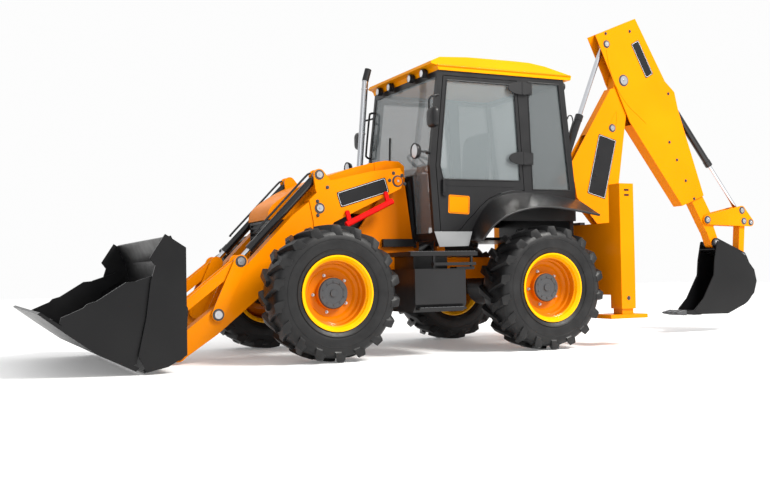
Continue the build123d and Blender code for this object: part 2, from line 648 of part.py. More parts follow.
fender_outer = [(735, 1058), (600, 1200), (400, 1310), (90, 1370), (-250, 1352), (-600, 1300)]
fender_inner = [(640, 1073), (545, 1282), (405, 1436), (143, 1520), (-250, 1518), (-640, 1465)]
fender_sheet = 20
with BuildPart() as fenders:
    for outward in (-1, 1):
        for y, curve in ((cab_half, fender_inner), (1100, fender_outer)):
            with BuildSketch(side(outward * y)):
                with BuildLine():
                    Spline(*curve)
                    Spline(*[(x, z - fender_sheet) for x, z in curve])
                    Line(curve[0], (curve[0][0], curve[0][1] - fender_sheet))
                    Line(curve[-1], (curve[-1][0], curve[-1][1] - fender_sheet))
                make_face()
        loft()
save("rear_fenders", fenders)

shelf = (905, 945)
with BuildPart() as steps:
    for outward in (-1, 1):
        box = sorted((outward * 480, outward * 1080))
        with BuildSketch(across(910)) as section:
            with BuildLine():
                Polyline((outward * 480, 400), (outward * 1030, 400), (outward * 1080, 470), (outward * 1080, 790),
                         (outward * 480, 790), close=True)
            make_face()
        extrude(section.sketch, amount=520)
        block((780, 1470), box, shelf)
        block((1000, 1350), sorted((outward * 500, outward * 900)), (790, shelf[0]))
        block((950, 1100), sorted((outward * tower_outer_y, outward * 500)), (710, 780))
        block((815, 1000), sorted((outward * 950, outward * 1080)), (780, 805))
        block((815, 1250), sorted((outward * 1050, outward * 1110)), (818, 845))
        for step_x in (830, 1220):
            block((step_x, step_x + 20), sorted((outward * 1055, outward * 1075)), (780, shelf[0]))
        block((930, 1410), sorted((outward * 1040, outward * 1120)), (420, 440))
        plate([(676, 1132), (1070, 1132), (1020, 1000), (716, 1007)], *both(outward, 800, cab_half))
save("side_tanks", steps)

# ---- rear frame and stabilisers -----------------------------------------------------------
rear_rails = [(1080, 1220), (500, 620)]     # bottom and top of each cross rail
with BuildPart() as rear_frame:
    for outward in (-1, 1):
        box = sorted((outward * leg_outer_y, outward * (leg_outer_y - leg_box)))
        block((leg_front_x - leg_box, leg_front_x), box, (leg_bottom_z, leg_top_z))
        hollow = sorted((outward * (leg_outer_y - 10), outward * (leg_outer_y - leg_box + 10)))
        block((leg_front_x - leg_box + 10, leg_front_x - 10), hollow, (leg_bottom_z - 1, leg_top_z - 10),
              Mode.SUBTRACT)
        block((leg_front_x - leg_box, leg_front_x), sorted((outward * 240, outward * 330)), (500, 1220))
        block((leg_front_x - 12, leg_front_x), sorted((outward * 240, outward * (leg_outer_y - leg_box))), (500, 1220))
    for bottom, top in rear_rails:
        block((leg_front_x - leg_box, leg_front_x), (-leg_outer_y + leg_box, leg_outer_y - leg_box), (bottom, top))
save("rear_frame", rear_frame)

for name, outward in (("stabiliser_left", 1), ("stabiliser_right", -1)):
    middle_y = outward * (leg_outer_y - leg_box / 2)
    middle_x = leg_front_x - leg_box / 2
    with BuildPart() as leg:
        block((middle_x - 68, middle_x + 68), (middle_y - 68, middle_y + 68), (310, 1500))
        collar = leg_box / 2 - 10 - seat_gap
        block((middle_x - collar, middle_x + collar), (middle_y - collar, middle_y + collar), (1400, 1500))
        block((middle_x - 225, middle_x + 225), sorted((outward * (leg_outer_y + 8), outward * (leg_outer_y - 300))),
              (270, 310))
    save(name, leg)

carriage_x = leg_front_x - leg_box - seat_gap
lug_radius = 80
with BuildPart() as carriage:
    block((carriage_x - 60, carriage_x), (-300, 300), (470, 1260))
    for bottom, top in ((1110, 1180), (500, 570)):
        with BuildSketch(level(bottom)):
            with Locations((slew_x, 0)):
                Circle(lug_radius)
            with Locations(((carriage_x - 30 + slew_x) / 2, 0)):
                Rectangle(carriage_x - 30 - slew_x, 2 * lug_radius)
        extrude(amount=top - bottom)
save("side_shift_carriage", carriage)

fork_in = boom_half + pin_gap
fork_out = fork_in + 30
boom_pin = 28           # bores of the rear arm's ram feet
dipper_pin = 26
bucket_pin = 24
with BuildPart() as kingpost:
    post((slew_x, 0), 70, (570 + seat_gap, 1110 - seat_gap))
    for outward in (-1, 1):
        cheek = sorted((outward * fork_out, outward * fork_in), reverse=True)
        strap([(*boom_foot, 85), (*boom_ram_foot, 50), (slew_x - 10, 700, 40), (slew_x - 10, 980, 40)], *cheek)
        boss(boom_ram_foot, boom_pin - seat_gap, *both(outward, fork_in, 0))
        block((slew_x - 50, slew_x + 30), sorted((0, outward * fork_in)), (660, 1020))
    boss(boom_foot, 38 - seat_gap, fork_in, -fork_in)
save("kingpost", kingpost)

boom_plate = 12
boom_side = [(-1605, 2784), (-1050, 1935), (-1111, 1553), (-1400, 1240), (-1530, 1110), (-1530, 900),
             (-1480, 660), (-1640, 640), (-1650, 1100), (-1690, 1714), (-1825, 2555), (-1880, 2830)]
boom_covers = [
    [(-1605, 2784), (-1256, 2250), (-1272, 2250), (-1605, 2760)],
    [(-1063, 1855), (-1111, 1553), (-1124, 1560), (-1077, 1855)],
    [(-1690, 1714), (-1825, 2555), (-1811, 2555), (-1676, 1714)],
]
with BuildPart() as boom:
    for outward in (-1, 1):
        cheek = sorted((outward * boom_half, outward * (boom_half - boom_plate)), reverse=True)
        plate(boom_side, *cheek)
        strap([(*dipper_ram_foot, 50), (-1080, 1800, 70)], *cheek)
        strap([(*boom_foot, 80), (-1570, 760, 70)], *cheek)
    for cover in boom_covers:
        plate(cover, boom_half - boom_plate, boom_plate - boom_half)
    strap([(*dipper_pivot, 110), (-1720, 2700, 90)], boom_half, -boom_half)
    strap([(*boom_foot, 75)], boom_half, -boom_half)
    boss(boom_foot, 38, boom_half, -boom_half, Mode.SUBTRACT)
    pivot_end = dipper_half - dipper_plate - seat_gap
    boss(dipper_pivot, 36, pivot_end, -pivot_end)
    boss(dipper_ram_foot, dipper_pin - seat_gap, boom_half - 5, 5 - boom_half)
save("boom", boom)

with BuildPart() as boom_barrel:
    ram_barrel(boom_ram_foot, boom_ram_head, 0, 36, 24, 1130, 45, 32, boom_pin)
save("boom_ram_barrel", boom_barrel)
with BuildPart() as boom_rod:
    ram_rod(boom_ram_foot, boom_ram_head, 0, 24, 110, 45, 35, boom_pin, boom_half - boom_plate - seat_gap)
save("boom_ram_rod", boom_rod)

# The dipper is drawn along its own line: s runs down from its pivot, n runs back from that line.
dipper_lean = radians(59.2)


def along(s, n):
    """Point s down the dipper from its pivot and n behind its line, as (x, z)."""
    return (dipper_pivot[0] - s * cos(dipper_lean) - n * sin(dipper_lean),
            dipper_pivot[1] - s * sin(dipper_lean) + n * cos(dipper_lean))


guide_back_n = 147
inner_front_n = guide_back_n + seat_gap
inner_back_n = 322
dipper_side = [along(-611, -77), along(-525, 528), along(280, 532), along(450, 590), along(660, 525),
               along(1690, inner_back_n + 5), along(1630, -20), along(440, -172)]
dipper_webs = [
    [along(-597, 20), along(-525, 528), along(-510, 515), along(-582, 24)],              # top cap
    [along(-525, 528), along(280, 532), along(280, 519), along(-525, 515)],              # back of the head
    [along(480, -166), along(1630, -20), along(1630, -6), along(480, -152)],             # front of the sleeve
    [along(480, guide_back_n - 12), along(1660, guide_back_n - 12), along(1660, guide_back_n),
     along(480, guide_back_n)],                                                          # guide in the sleeve
]
with BuildPart() as dipper:
    for outward in (-1, 1):
        cheek = sorted((outward * dipper_half, outward * (dipper_half - dipper_plate)), reverse=True)
        plate(dipper_side, *cheek)
    for web in dipper_webs:
        plate(web, dipper_half - dipper_plate, dipper_plate - dipper_half)
save("dipper", dipper)
with BuildPart() as dipper_barrel:
    ram_barrel(dipper_ram_foot, dipper_ram_head, 0, 42, 26, 800, 45, 30, dipper_pin)
save("dipper_ram_barrel", dipper_barrel)
with BuildPart() as dipper_rod:
    ram_rod(dipper_ram_foot, dipper_ram_head, 0, 26, 760, 42, 30, 26, dipper_half - dipper_plate - seat_gap)
save("dipper_ram_rod", dipper_rod)

inner_half = 57
with BuildPart() as inner_dipper:
    plate([along(250, inner_front_n), along(2080, inner_front_n), along(2080, inner_back_n),
           along(250, inner_back_n)], inner_half, -inner_half)
    strap([(*bucket_hinge, 60), (*along(2040, 220), 62)], inner_half, -inner_half)
    ear_in = inner_half + pin_gap
    boss(bucket_hinge, 42, ear_in - seat_gap, seat_gap - ear_in)
    boss(bucket_hinge, 30, ear_in + 20, -ear_in - 20)
    for outward in (-1, 1):
        cheek = sorted((outward * inner_half, outward * (30 + pin_gap)), reverse=True)
        strap([(*bucket_ram_foot, 48), (*along(320, 300), 20), (*along(465, 300), 20)], *cheek)
        boss(bucket_ram_foot, bucket_pin - seat_gap, *both(outward, 40, 0))
    boss(lever_pivot, 30 - seat_gap, 84, -84)
save("inner_dipper", inner_dipper)

with BuildPart() as bucket_barrel:
    ram_barrel(bucket_ram_foot, bucket_ram_head, 0, 40, 24, 1040, 45, 30, bucket_pin)
save("bucket_ram_barrel", bucket_barrel)
with BuildPart() as bucket_rod:
    ram_rod(bucket_ram_foot, bucket_ram_head, 0, 24, 735, 42, 30, 24, inner_half + pin_gap - seat_gap)
save("bucket_ram_rod", bucket_rod)

with BuildPart() as lever:
    for outward in (-1, 1):
        cheek = sorted((outward * (inner_half + pin_gap + 16), outward * (inner_half + pin_gap)), reverse=True)
        strap([(*lever_pivot, 55), (*bucket_ram_head, 55), (-3655, 1290, 48), (*lever_link, 50)], *cheek)
        boss(lever_pivot, 30, *cheek, Mode.SUBTRACT)
save("tipping_lever", lever)
with BuildPart() as link:
    strap([(*lever_link, 42), (*bucket_link, 42)], 50, -50)
    for joint in (lever_link, bucket_link):
        boss(joint, 25, inner_half + pin_gap - seat_gap, seat_gap - inner_half - pin_gap)
save("tipping_link", link)

ear_out = inner_half + pin_gap + 20
bucket_side = [(-3063, 1066), (-3012, 843), (-2993, 662), (-2823, 387), (-2680, 262), (-2742, 215), (-3197, 205),
               (-3468, 311), (-3620, 440), (-3665, 583), (-3630, 720), (-3553, 804), (-3511, 888)]
with BuildPart() as bucket:
    for outward in (-1, 1):
        cheek = sorted((outward * bucket_half, outward * (bucket_half - 14)), reverse=True)
        plate(bucket_side, *cheek)
        ear = sorted((outward * ear_out, outward * (inner_half + pin_gap)), reverse=True)
        strap([(*bucket_hinge, 58), (*bucket_link, 50), (-3480, 820, 20), (-3130, 925, 20)], *ear)
        boss(bucket_hinge, 30 + seat_gap, *ear, Mode.SUBTRACT)
    plate([(-3560, 800), (-3020, 975), (-3016, 962), (-3552, 786)], bucket_half - 14, 14 - bucket_half)
    with BuildSketch(side(bucket_half - 14)):
        with BuildLine():
            Line((-3560, 800), (-3630, 700))
            ThreePointArc((-3630, 700), (-3610, 430), (-3430, 290))
            Line((-3430, 290), (-3197, 205))
            Line((-3197, 205), (-2720, 212))
            Line((-2720, 212), (-2720, 228))
            Line((-2720, 228), (-3197, 219))
            Line((-3197, 219), (-3424, 303))
            ThreePointArc((-3424, 303), (-3597, 437), (-3617, 695))
            Line((-3617, 695), (-3552, 786))
            Line((-3552, 786), (-3560, 800))
        make_face()
    extrude(amount=2 * (bucket_half - 14))
    for tooth_y in (-112, -37, 37, 112):
        plate([(-2790, 205), (-2790, 262), (-2680, 262), (-2440, 240), (-2440, 228), (-2680, 205)],
              tooth_y + 22, tooth_y - 22)
save("backhoe_bucket", bucket)
print("wrote", len(os.listdir("parts")), "parts")
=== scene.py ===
import json

import bpy
import numpy as np
from mathutils import Matrix, Vector


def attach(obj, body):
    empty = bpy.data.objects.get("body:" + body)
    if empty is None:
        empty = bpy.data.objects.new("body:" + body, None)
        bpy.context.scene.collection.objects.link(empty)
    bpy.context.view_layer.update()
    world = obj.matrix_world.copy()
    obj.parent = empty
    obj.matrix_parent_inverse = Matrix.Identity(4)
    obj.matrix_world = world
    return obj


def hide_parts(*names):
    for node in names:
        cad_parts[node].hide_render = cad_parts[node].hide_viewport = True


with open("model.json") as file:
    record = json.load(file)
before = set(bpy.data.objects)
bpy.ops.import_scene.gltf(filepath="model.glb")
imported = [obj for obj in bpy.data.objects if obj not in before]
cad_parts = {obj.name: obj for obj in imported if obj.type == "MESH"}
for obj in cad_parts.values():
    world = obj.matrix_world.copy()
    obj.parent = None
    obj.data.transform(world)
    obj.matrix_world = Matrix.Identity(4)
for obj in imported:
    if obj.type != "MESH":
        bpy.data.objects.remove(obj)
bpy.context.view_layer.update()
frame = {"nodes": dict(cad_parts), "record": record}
nodes = frame["nodes"]
print("frame loaded:", len(nodes), "nodes")


class Signal:
    # A shader output that takes part in sums: each operator adds one Math node.
    def __init__(self, finish, socket):
        self.finish = finish
        self.socket = socket

    def maths(self, operation, first, second):
        return self.finish.node("ShaderNodeMath", {"operation": operation}, {0: first, 1: second})

    def __add__(self, other):
        return self.maths("ADD", self, other)

    def __radd__(self, other):
        return self.maths("ADD", other, self)

    def __sub__(self, other):
        return self.maths("SUBTRACT", self, other)

    def __rsub__(self, other):
        return self.maths("SUBTRACT", other, self)

    def __mul__(self, other):
        return self.maths("MULTIPLY", self, other)

    def __truediv__(self, other):
        return self.maths("DIVIDE", self, other)

    def __pow__(self, other):
        return self.maths("POWER", self, other)

    def clamped(self):
        return self.finish.node("ShaderNodeClamp", {}, {0: self, 1: 0.0, 2: 1.0})


class Finish:
    # One material: fixed values sit on the shader's sockets, patterns come through node().
    def __init__(self, name, **fixed):
        self.material = bpy.data.materials.new(name)
        self.material.use_nodes = True
        self.tree = self.material.node_tree
        self.shader = self.tree.nodes["Principled BSDF"]
        for socket, value in fixed.items():
            self.shader.inputs[socket.replace("_", " ")].default_value = value
        self.where = self.node("ShaderNodeTexCoord", output="Object")

    def node(self, kind, settings=None, sockets=None, output=0):
        made = self.tree.nodes.new(kind)
        for key, value in (settings or {}).items():
            setattr(made, key, value)
        for key, value in (sockets or {}).items():
            self.feed(made.inputs[key], value)
        return Signal(self, made.outputs[output])

    def feed(self, target, value):
        if isinstance(value, Signal):
            self.tree.links.new(value.socket, target)
        else:
            target.default_value = value

    def set(self, socket, value):
        self.feed(self.shader.inputs[socket], value)

    def noise(self, scale, detail=3.0):
        return self.node("ShaderNodeTexNoise", {},
                         {"Vector": self.where, "Scale": scale, "Detail": detail, "Roughness": 0.55})

    def blend(self, mask, dark, light):
        return self.node(
            "ShaderNodeMix", {"data_type": "RGBA"},
            {0: mask, 6: (*dark, 1.0), 7: (*light, 1.0)}, output=2)

    def bump(self, height, strength, distance):
        self.set("Normal", self.node(
            "ShaderNodeBump", {}, {"Height": height, "Strength": strength, "Distance": distance}))


# Scales, contrasts and depths of the patterns in each kind of finish.
paintSkin = {"drift": 1.3, "contrast": 2.2, "smear": 9.0, "smearDepth": 0.22,
             "peelScale": 260.0, "peelDepth": 0.002}
rubberSkin = {"patch": 7.0, "contrast": 2.5, "rough": 0.42, "wear": 30.0, "wearDepth": 0.3,
              "grain": 420.0, "strength": 0.18, "depth": 0.003}
metalSkin = {"stretch": (1.0, 40.0, 1.0), "streak": 12.0, "shade": 0.86, "roughDepth": 0.1}
# Glass: pillar and fade place the painted shade behind the hinge pillar, which darkens and thickens the pane
# there.
glassSkin = {"haze": 0.9, "hazeDepth": 0.12, "pillar": -0.38, "fade": 0.10, "paintedShade": 0.4, "shadeCover": 0.22}
clothSkin = {"threads": 120.0, "wander": 1.5, "wear": 24.0, "strength": 0.35, "depth": 0.002}


def enamel(name, dark, light, rough=0.32, coat=0.08, peel=0.06, shine=0.02):
    # Sprayed paint: a slow drift between two close shades, faint rub marks and an orange-peel skin.
    # Mask = clamp(contrast (noise - 1/2) + 1/2), roughness = rough + depth (noise - 1/2).
    finish = Finish(name, Coat_Weight=coat, Coat_Roughness=0.1, Specular_IOR_Level=shine)
    drift = finish.noise(paintSkin["drift"], detail=2.0)
    finish.set("Base Color", finish.blend(((drift - 0.5) * paintSkin["contrast"] + 0.5).clamped(), dark, light))
    smear = finish.noise(paintSkin["smear"], detail=4.0)
    finish.set("Roughness", (rough + (smear - 0.5) * paintSkin["smearDepth"]).clamped())
    finish.bump(finish.noise(paintSkin["peelScale"], detail=2.0), peel, paintSkin["peelDepth"])
    return finish.material


def rubber(name, dark, light):
    # Moulded rubber: matt, a little greyer in patches, with a fine grain.
    # Mask = clamp(contrast (noise - 0.45) + 0.4).
    finish = Finish(name, Specular_IOR_Level=0.25)
    patch = finish.noise(rubberSkin["patch"], detail=5.0)
    finish.set("Base Color", finish.blend(((patch - 0.45) * rubberSkin["contrast"] + 0.4).clamped(), dark, light))
    wear = finish.noise(rubberSkin["wear"]) - 0.5
    finish.set("Roughness", (rubberSkin["rough"] + wear * rubberSkin["wearDepth"]).clamped())
    finish.bump(finish.noise(rubberSkin["grain"], detail=4.0), rubberSkin["strength"], rubberSkin["depth"])
    return finish.material


def chromed(name, colour, rough):
    # Bright or worn metal: noise stretched across Y gives fine streaks of shade and roughness.
    finish = Finish(name, Metallic=1.0)
    stretched = finish.node("ShaderNodeMapping", {}, {"Vector": finish.where, "Scale": metalSkin["stretch"]})
    streak = finish.node(
        "ShaderNodeTexNoise", {}, {"Vector": stretched, "Scale": metalSkin["streak"], "Detail": 3.0})
    finish.set("Base Color", finish.blend(streak, tuple(metalSkin["shade"] * c for c in colour), colour))
    finish.set("Roughness", (rough + (streak - 0.5) * metalSkin["roughDepth"]).clamped())
    return finish.material


def pane(name, tint, cover):
    # Tinted safety glass, with painted shade behind the door's hinge pillar, where the pane is made darker and
    # denser:
    # mask = clamp((pillar - x) / fade), alpha = cover + shade cover mask + depth (noise - 1/2).
    finish = Finish(name, Roughness=0.02, Specular_IOR_Level=0.9, Coat_Weight=0.6, Coat_Roughness=0.01)
    haze = finish.noise(glassSkin["haze"], detail=1.0)
    along = finish.node("ShaderNodeSeparateXYZ", {}, {"Vector": finish.where})
    # Mask of the painted shade behind the hinge pillar.
    behind = ((glassSkin["pillar"] - along) / glassSkin["fade"]).clamped()
    finish.set("Base Color", finish.blend(behind, tint, tuple(glassSkin["paintedShade"] * c for c in tint)))
    cloud = (haze - 0.5) * glassSkin["hazeDepth"]
    finish.set("Alpha", (cover + behind * glassSkin["shadeCover"] + cloud).clamped())
    return finish.material


def cloth(name, dark, light):
    # Woven cover: two crossed waves raise the threads (height = product), noise wears their colour.
    finish = Finish(name, Specular_IOR_Level=0.15, Roughness=0.9)
    weave = {"Vector": finish.where, "Scale": clothSkin["threads"], "Distortion": clothSkin["wander"]}
    threads = [finish.node("ShaderNodeTexWave", {"bands_direction": direction}, weave) for direction in ("Y", "Z")]
    worn = (finish.noise(clothSkin["wear"]) * 0.7 + threads[0] * 0.3).clamped()
    finish.set("Base Color", finish.blend(worn, dark, light))
    finish.bump(threads[0] * threads[1], clothSkin["strength"], clothSkin["depth"])
    return finish.material


# The keys with an underscore are the material slots of the CAD nodes.
paints = {
    "body_yellow": enamel("bodyYellow", (0.64, 0.180, 0.0004), (0.72, 0.212, 0.0007)),
    # chassis_orange: the body yellow darkened to orange, as painted shade on the parts in that slot.
    "chassis_orange": enamel("chassisShadeOrange", (0.54, 0.130, 0.0004), (0.62, 0.156, 0.0006)),
    "rim": enamel("rimYellow", (0.95, 0.50, 0.004), (1.0, 0.60, 0.008), rough=0.22),
    "bucket_grey": enamel("bucketGrey", (0.003, 0.003, 0.0035), (0.007, 0.007, 0.0075),
                          rough=0.36, coat=0.07, shine=0.18),
    "cab_grey": enamel("cabGrey", (0.007, 0.007, 0.0075), (0.013, 0.013, 0.014),
                       rough=0.36, coat=0.09, shine=0.2),
    "frame_black": enamel("frameBlack", (0.006, 0.006, 0.007), (0.014, 0.014, 0.015),
                          rough=0.42, coat=0.08, shine=0.22),
    "ram_black": enamel("ramBlack", (0.004, 0.004, 0.005), (0.009, 0.009, 0.010),
                        rough=0.2, coat=0.3, shine=0.3),
    "strut_red": enamel("strutRed", (0.60, 0.006, 0.006), (0.72, 0.012, 0.010), rough=0.2),
    "chrome": chromed("ramChrome", (0.62, 0.63, 0.66), 0.16),
    "glass": pane("tintedGlass", (0.20, 0.23, 0.24), 0.42),
    "tyre": rubber("tyreRubber", (0.004, 0.004, 0.0045), (0.012, 0.012, 0.0125)),
    "roofYellow": enamel("roofYellow", (0.66, 0.235, 0.0004), (0.72, 0.270, 0.0006)),
    "steel": chromed("wornSteel", (0.50, 0.50, 0.52), 0.3),
    "exhaustSteel": chromed("exhaustSteel", (0.46, 0.47, 0.49), 0.2),
    "lens": enamel("lampLens", (0.42, 0.44, 0.46), (0.60, 0.62, 0.64), rough=0.08, coat=1.0),
    "hubGrey": enamel("hubGrey", (0.030, 0.031, 0.034), (0.050, 0.052, 0.056),
                      rough=0.34, coat=0.2, shine=0.3),
    "panelBlack": enamel("panelBlack", (0.006, 0.006, 0.007), (0.010, 0.010, 0.011),
                         rough=0.3, coat=0.1, shine=0.2),
    "panelWhite": enamel("panelWhite", (0.74, 0.74, 0.72), (0.80, 0.80, 0.78), rough=0.25, coat=0.4),
    "stepSilver": enamel("stepSilver", (0.16, 0.165, 0.17), (0.24, 0.245, 0.25), rough=0.36, coat=0.2),
    "hose": rubber("hoseRubber", (0.007, 0.007, 0.008), (0.014, 0.014, 0.015)),
    "seatCloth": cloth("seatCloth", (0.018, 0.018, 0.020), (0.050, 0.050, 0.054)),
}


def repaint(node, paint):
    nodes[node].data.materials.clear()
    nodes[node].data.materials.append(paint)


for part in frame["record"]["subparts"]:
    if part["node"] in nodes:
        repaint(part["node"], paints[part["material_slot"]])
repaint("cab_roof", paints["roofYellow"])
repaint("exhaust", paints["exhaustSteel"])
print("finishes made:", len(paints))

rearAxle = -0.452   # X of the rear axle in the shared frame
wheelbase = 2.2
bothSides = (-1, 1)  # right and left, as the sign of Y
named = ((1, "left"), (-1, "right"))


def place(x, z, y=0.0):
    # World point from metres ahead of the rear axle, height and metres to the left.
    return np.array((x + rearAxle, y, z))


def path(pairs, y=0.0):
    # World points of (x, z) pairs in one Y plane, each as place() gives it.
    pairs = np.array(pairs, float)
    return np.stack([pairs[:, 0] + rearAxle, np.full(len(pairs), y), pairs[:, 1]], axis=1)


def joined(parts):
    # Stacks the point arrays of several forms into one and shifts their faces to match.
    points, faces, shift = [], [], 0
    for corners, rings in parts:
        points.append(np.asarray(corners, float))
        faces += [tuple(int(i) + shift for i in ring) for ring in rings]
        shift += len(corners)
    return np.vstack(points), faces


def piece(name, parts, paint, body, bevel=0.0, smooth=True):
    # One object from several forms: it rides its body and fills one material slot.
    corners, faces = joined(parts)
    mesh = bpy.data.meshes.new(name)
    mesh.from_pydata(corners.tolist(), [], faces)
    mesh.materials.append(paint)
    made = bpy.data.objects.new(name, mesh)
    bpy.context.scene.collection.objects.link(made)
    mesh.validate()
    mesh.update()
    if smooth:
        mesh.polygons.foreach_set("use_smooth", [True] * len(mesh.polygons))
    if bevel:
        edge = made.modifiers.new("edge", "BEVEL")
        edge.width, edge.segments, edge.limit_method, edge.angle_limit = bevel, 3, "ANGLE", 0.7
        edge.harden_normals = True
    if smooth and not bevel:
        mesh.set_sharp_from_angle(angle=0.7)
    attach(made, body)
    return made


def grid(rows, closedAcross=True, closedAlong=False):
    # rows is (n, m, 3): faces run between neighbouring rows, and round each row if closedAcross.
    n, m = rows.shape[:2]
    lines = np.arange(n if closedAlong else n - 1)
    places = np.arange(m if closedAcross else m - 1)
    i, j = [a.ravel() for a in np.meshgrid(lines, places, indexing="ij")]
    nextRow, nextPlace = (i + 1) % n, (j + 1) % m
    faces = np.stack([i * m + j, nextRow * m + j, nextRow * m + nextPlace, i * m + nextPlace], axis=1)
    return rows.reshape(-1, 3), faces


def turned(profile, centre, axis=(0, 1, 0), steps=48):
    # Spins (along, radius) pairs about an axis through the centre:
    # p = c + along a + radius (u cos t + v sin t).
    axis = np.array(axis, float) / np.linalg.norm(axis)
    first = np.cross(axis, (0.0, 0.0, 1.0) if abs(axis[2]) < 0.9 else (1.0, 0.0, 0.0))
    first = first / np.linalg.norm(first)
    second = np.cross(axis, first)
    turn = np.linspace(0, 2 * np.pi, steps, endpoint=False)
    along, radius = np.array(profile, float).T
    ring = np.cos(turn)[:, None] * first + np.sin(turn)[:, None] * second
    rows = np.array(centre) + along[:, None, None] * axis + np.maximum(radius, 1e-5)[:, None, None] * ring
    return grid(rows[::-1])


def disc(centre, radius, depth, axis=(0, 1, 0), steps=32, edge=0.15):
    # Short round bar with eased rims that stands on its centre and rises along the axis.
    ease = edge * min(radius, abs(depth))
    return turned([(0, 0), (0, radius), (depth - ease, radius), (depth, radius - ease), (depth, 0)],
                  centre, axis, steps)


def smoothed(points, count):
    # Catmull-Rom line through the points, `count` steps in each span.
    points = np.array(points, float)
    ends = np.vstack([2 * points[0] - points[1], points, 2 * points[-1] - points[-2]])
    t = np.linspace(0, 1, count, endpoint=False)[:, None]
    spans = []
    for a, b, c, d in zip(ends, ends[1:], ends[2:], ends[3:]):
        spans.append(0.5 * (2 * b + (c - a) * t + (2 * a - 5 * b + 4 * c - d) * t ** 2
                            + (3 * b - a - 3 * c + d) * t ** 3))
    return np.vstack(spans + [points[-1:]])


def swept(points, radius, sides=14, count=8):
    # Round tube along a smooth line, with capped ends. Its frame is carried from point to point:
    # each sideways vector is the last one less its share along the heading.
    line = smoothed(points, count) if count else np.array(points, float)
    heading = np.gradient(line, axis=0)
    heading /= np.linalg.norm(heading, axis=1)[:, None]
    sideways = [np.cross(heading[0], (0.3, 0.2, 0.93))]
    for ahead in heading:
        kept = sideways[-1] - ahead * np.dot(sideways[-1], ahead)
        sideways.append(kept / np.linalg.norm(kept))
    sideways = np.array(sideways[1:])
    upward = np.cross(heading, sideways)
    turn = np.linspace(0, 2 * np.pi, sides, endpoint=False)
    rows = line[:, None] + radius * (np.cos(turn)[None, :, None] * sideways[:, None]
                                     + np.sin(turn)[None, :, None] * upward[:, None])
    corners, faces = grid(rows)
    last = len(line) - 1
    caps = [tuple(range(sides)), tuple(range(last * sides, (last + 1) * sides))[::-1]]
    return corners, list(faces[:, ::-1]) + caps


def strung(line, radius):
    # A straight bead along each stretch of a line.
    return [swept(stretch, radius, sides=8, count=0) for stretch in zip(line, line[1:])]


def loop(outline, face, radius):
    # Rubber or metal bead round an outline of (x, z) pairs, corners included.
    return strung(path(np.vstack([outline, outline[:1]]), face), radius)


def prism(outline, low, high):
    # Flat outline of (x, z) pairs, drawn out between two Y planes. A negative area means that it runs
    # the other way round, so it is turned back first.
    flat = np.array(outline, float)
    area = np.sum(flat[:, 0] * np.roll(flat[:, 1], -1) - flat[:, 1] * np.roll(flat[:, 0], -1))
    if area < 0:
        flat = flat[::-1]
    near = path(flat, min(low, high))
    far = near + (0, abs(high - low), 0)
    count = len(flat)
    here = np.arange(count)
    after = (here + 1) % count
    walls = np.stack([after, after + count, here + count, here], axis=1)
    return np.vstack([near, far]), [tuple(here), tuple(count + here[::-1])] + list(walls)


def block(low, high):
    # Box between two world corners.
    corners = [(x, y, z) for x in (low[0], high[0]) for y in (low[1], high[1]) for z in (low[2], high[2])]
    return corners, [(0, 1, 3, 2), (4, 6, 7, 5), (0, 4, 5, 1), (2, 3, 7, 6), (0, 2, 6, 4), (1, 5, 7, 3)]


def panelOutline(middle, half, corner, turn=0.0, steps=5):
    # Rounded rectangle of (x, z) pairs about its middle, turned by an angle:
    # each corner is its own centre + corner (cos a, sin a) over its quarter of the circle.
    signs = np.array([(1, 1), (-1, 1), (-1, -1), (1, -1)])[:, :, None]
    angle = np.linspace(0, np.pi / 2, steps) + (np.arange(4) * np.pi / 2)[:, None]
    x = (signs[:, 0] * (half[0] - corner) + corner * np.cos(angle)).ravel()
    z = (signs[:, 1] * (half[1] - corner) + corner * np.sin(angle)).ravel()
    cosine, sine = np.cos(turn), np.sin(turn)
    return np.array(middle) + np.stack([cosine * x - sine * z, sine * x + cosine * z], axis=1)


def rosette(centre, radius, count, lift, phase=0.0):
    # Spots on a circle round an axle: angle = 2 pi (k + phase) / count, lifted along Y.
    angle = 2 * np.pi * (np.arange(count) + phase) / count
    return centre + radius * np.stack([np.sin(angle), 0 * angle, np.cos(angle)], axis=1) + (0, lift, 0)


# Radii in metres where the rim's colours change, and how sharply.
rimForm = {"dish": 0.288, "dishFade": 90.0, "hub": 0.138, "hubFade": 300.0,
           # The dish's colour is painted shade: the lip's yellow paint darkened to orange for the recessed dish.
           "paintedDishShade": (0.52, 0.135, 0.001, 1.0), "hubColour": (0.030, 0.031, 0.034, 1.0),
           "lip": ((0.80, 0.37, 0.001), (0.90, 0.44, 0.002))}


def rimFinish(name, centre):
    # Yellow lip, orange dish and grey hub, chosen by the distance from the wheel's axle:
    # r = sqrt((x - cx)^2 + (z - cz)^2). The dish has the lip's yellow paint; its darker orange is painted shade.
    finish = Finish(name, Coat_Weight=0.12, Coat_Roughness=0.08, Specular_IOR_Level=0.04)
    spot = finish.node("ShaderNodeSeparateXYZ", {}, {"Vector": finish.where})
    height = Signal(finish, spot.socket.node.outputs["Z"])
    radius = ((spot - centre[0]) ** 2.0 + (height - centre[2]) ** 2.0) ** 0.5
    dish = ((rimForm["dish"] - radius) * rimForm["dishFade"]).clamped()
    hub = ((rimForm["hub"] - radius) * rimForm["hubFade"]).clamped()
    colour = finish.blend(((finish.noise(6.0) - 0.45) * 2.0).clamped(), *rimForm["lip"])
    for mask, shade in ((dish, rimForm["paintedDishShade"]), (hub, rimForm["hubColour"])):
        colour = finish.node("ShaderNodeMix", {"data_type": "RGBA"}, {0: mask, 6: colour, 7: shade}, output=2)
    finish.set("Base Color", colour)
    finish.set("Roughness", (0.24 + (finish.noise(14.0) - 0.5) * 0.2).clamped())
    finish.bump(finish.noise(240.0), 0.05, 0.002)
    return finish.material


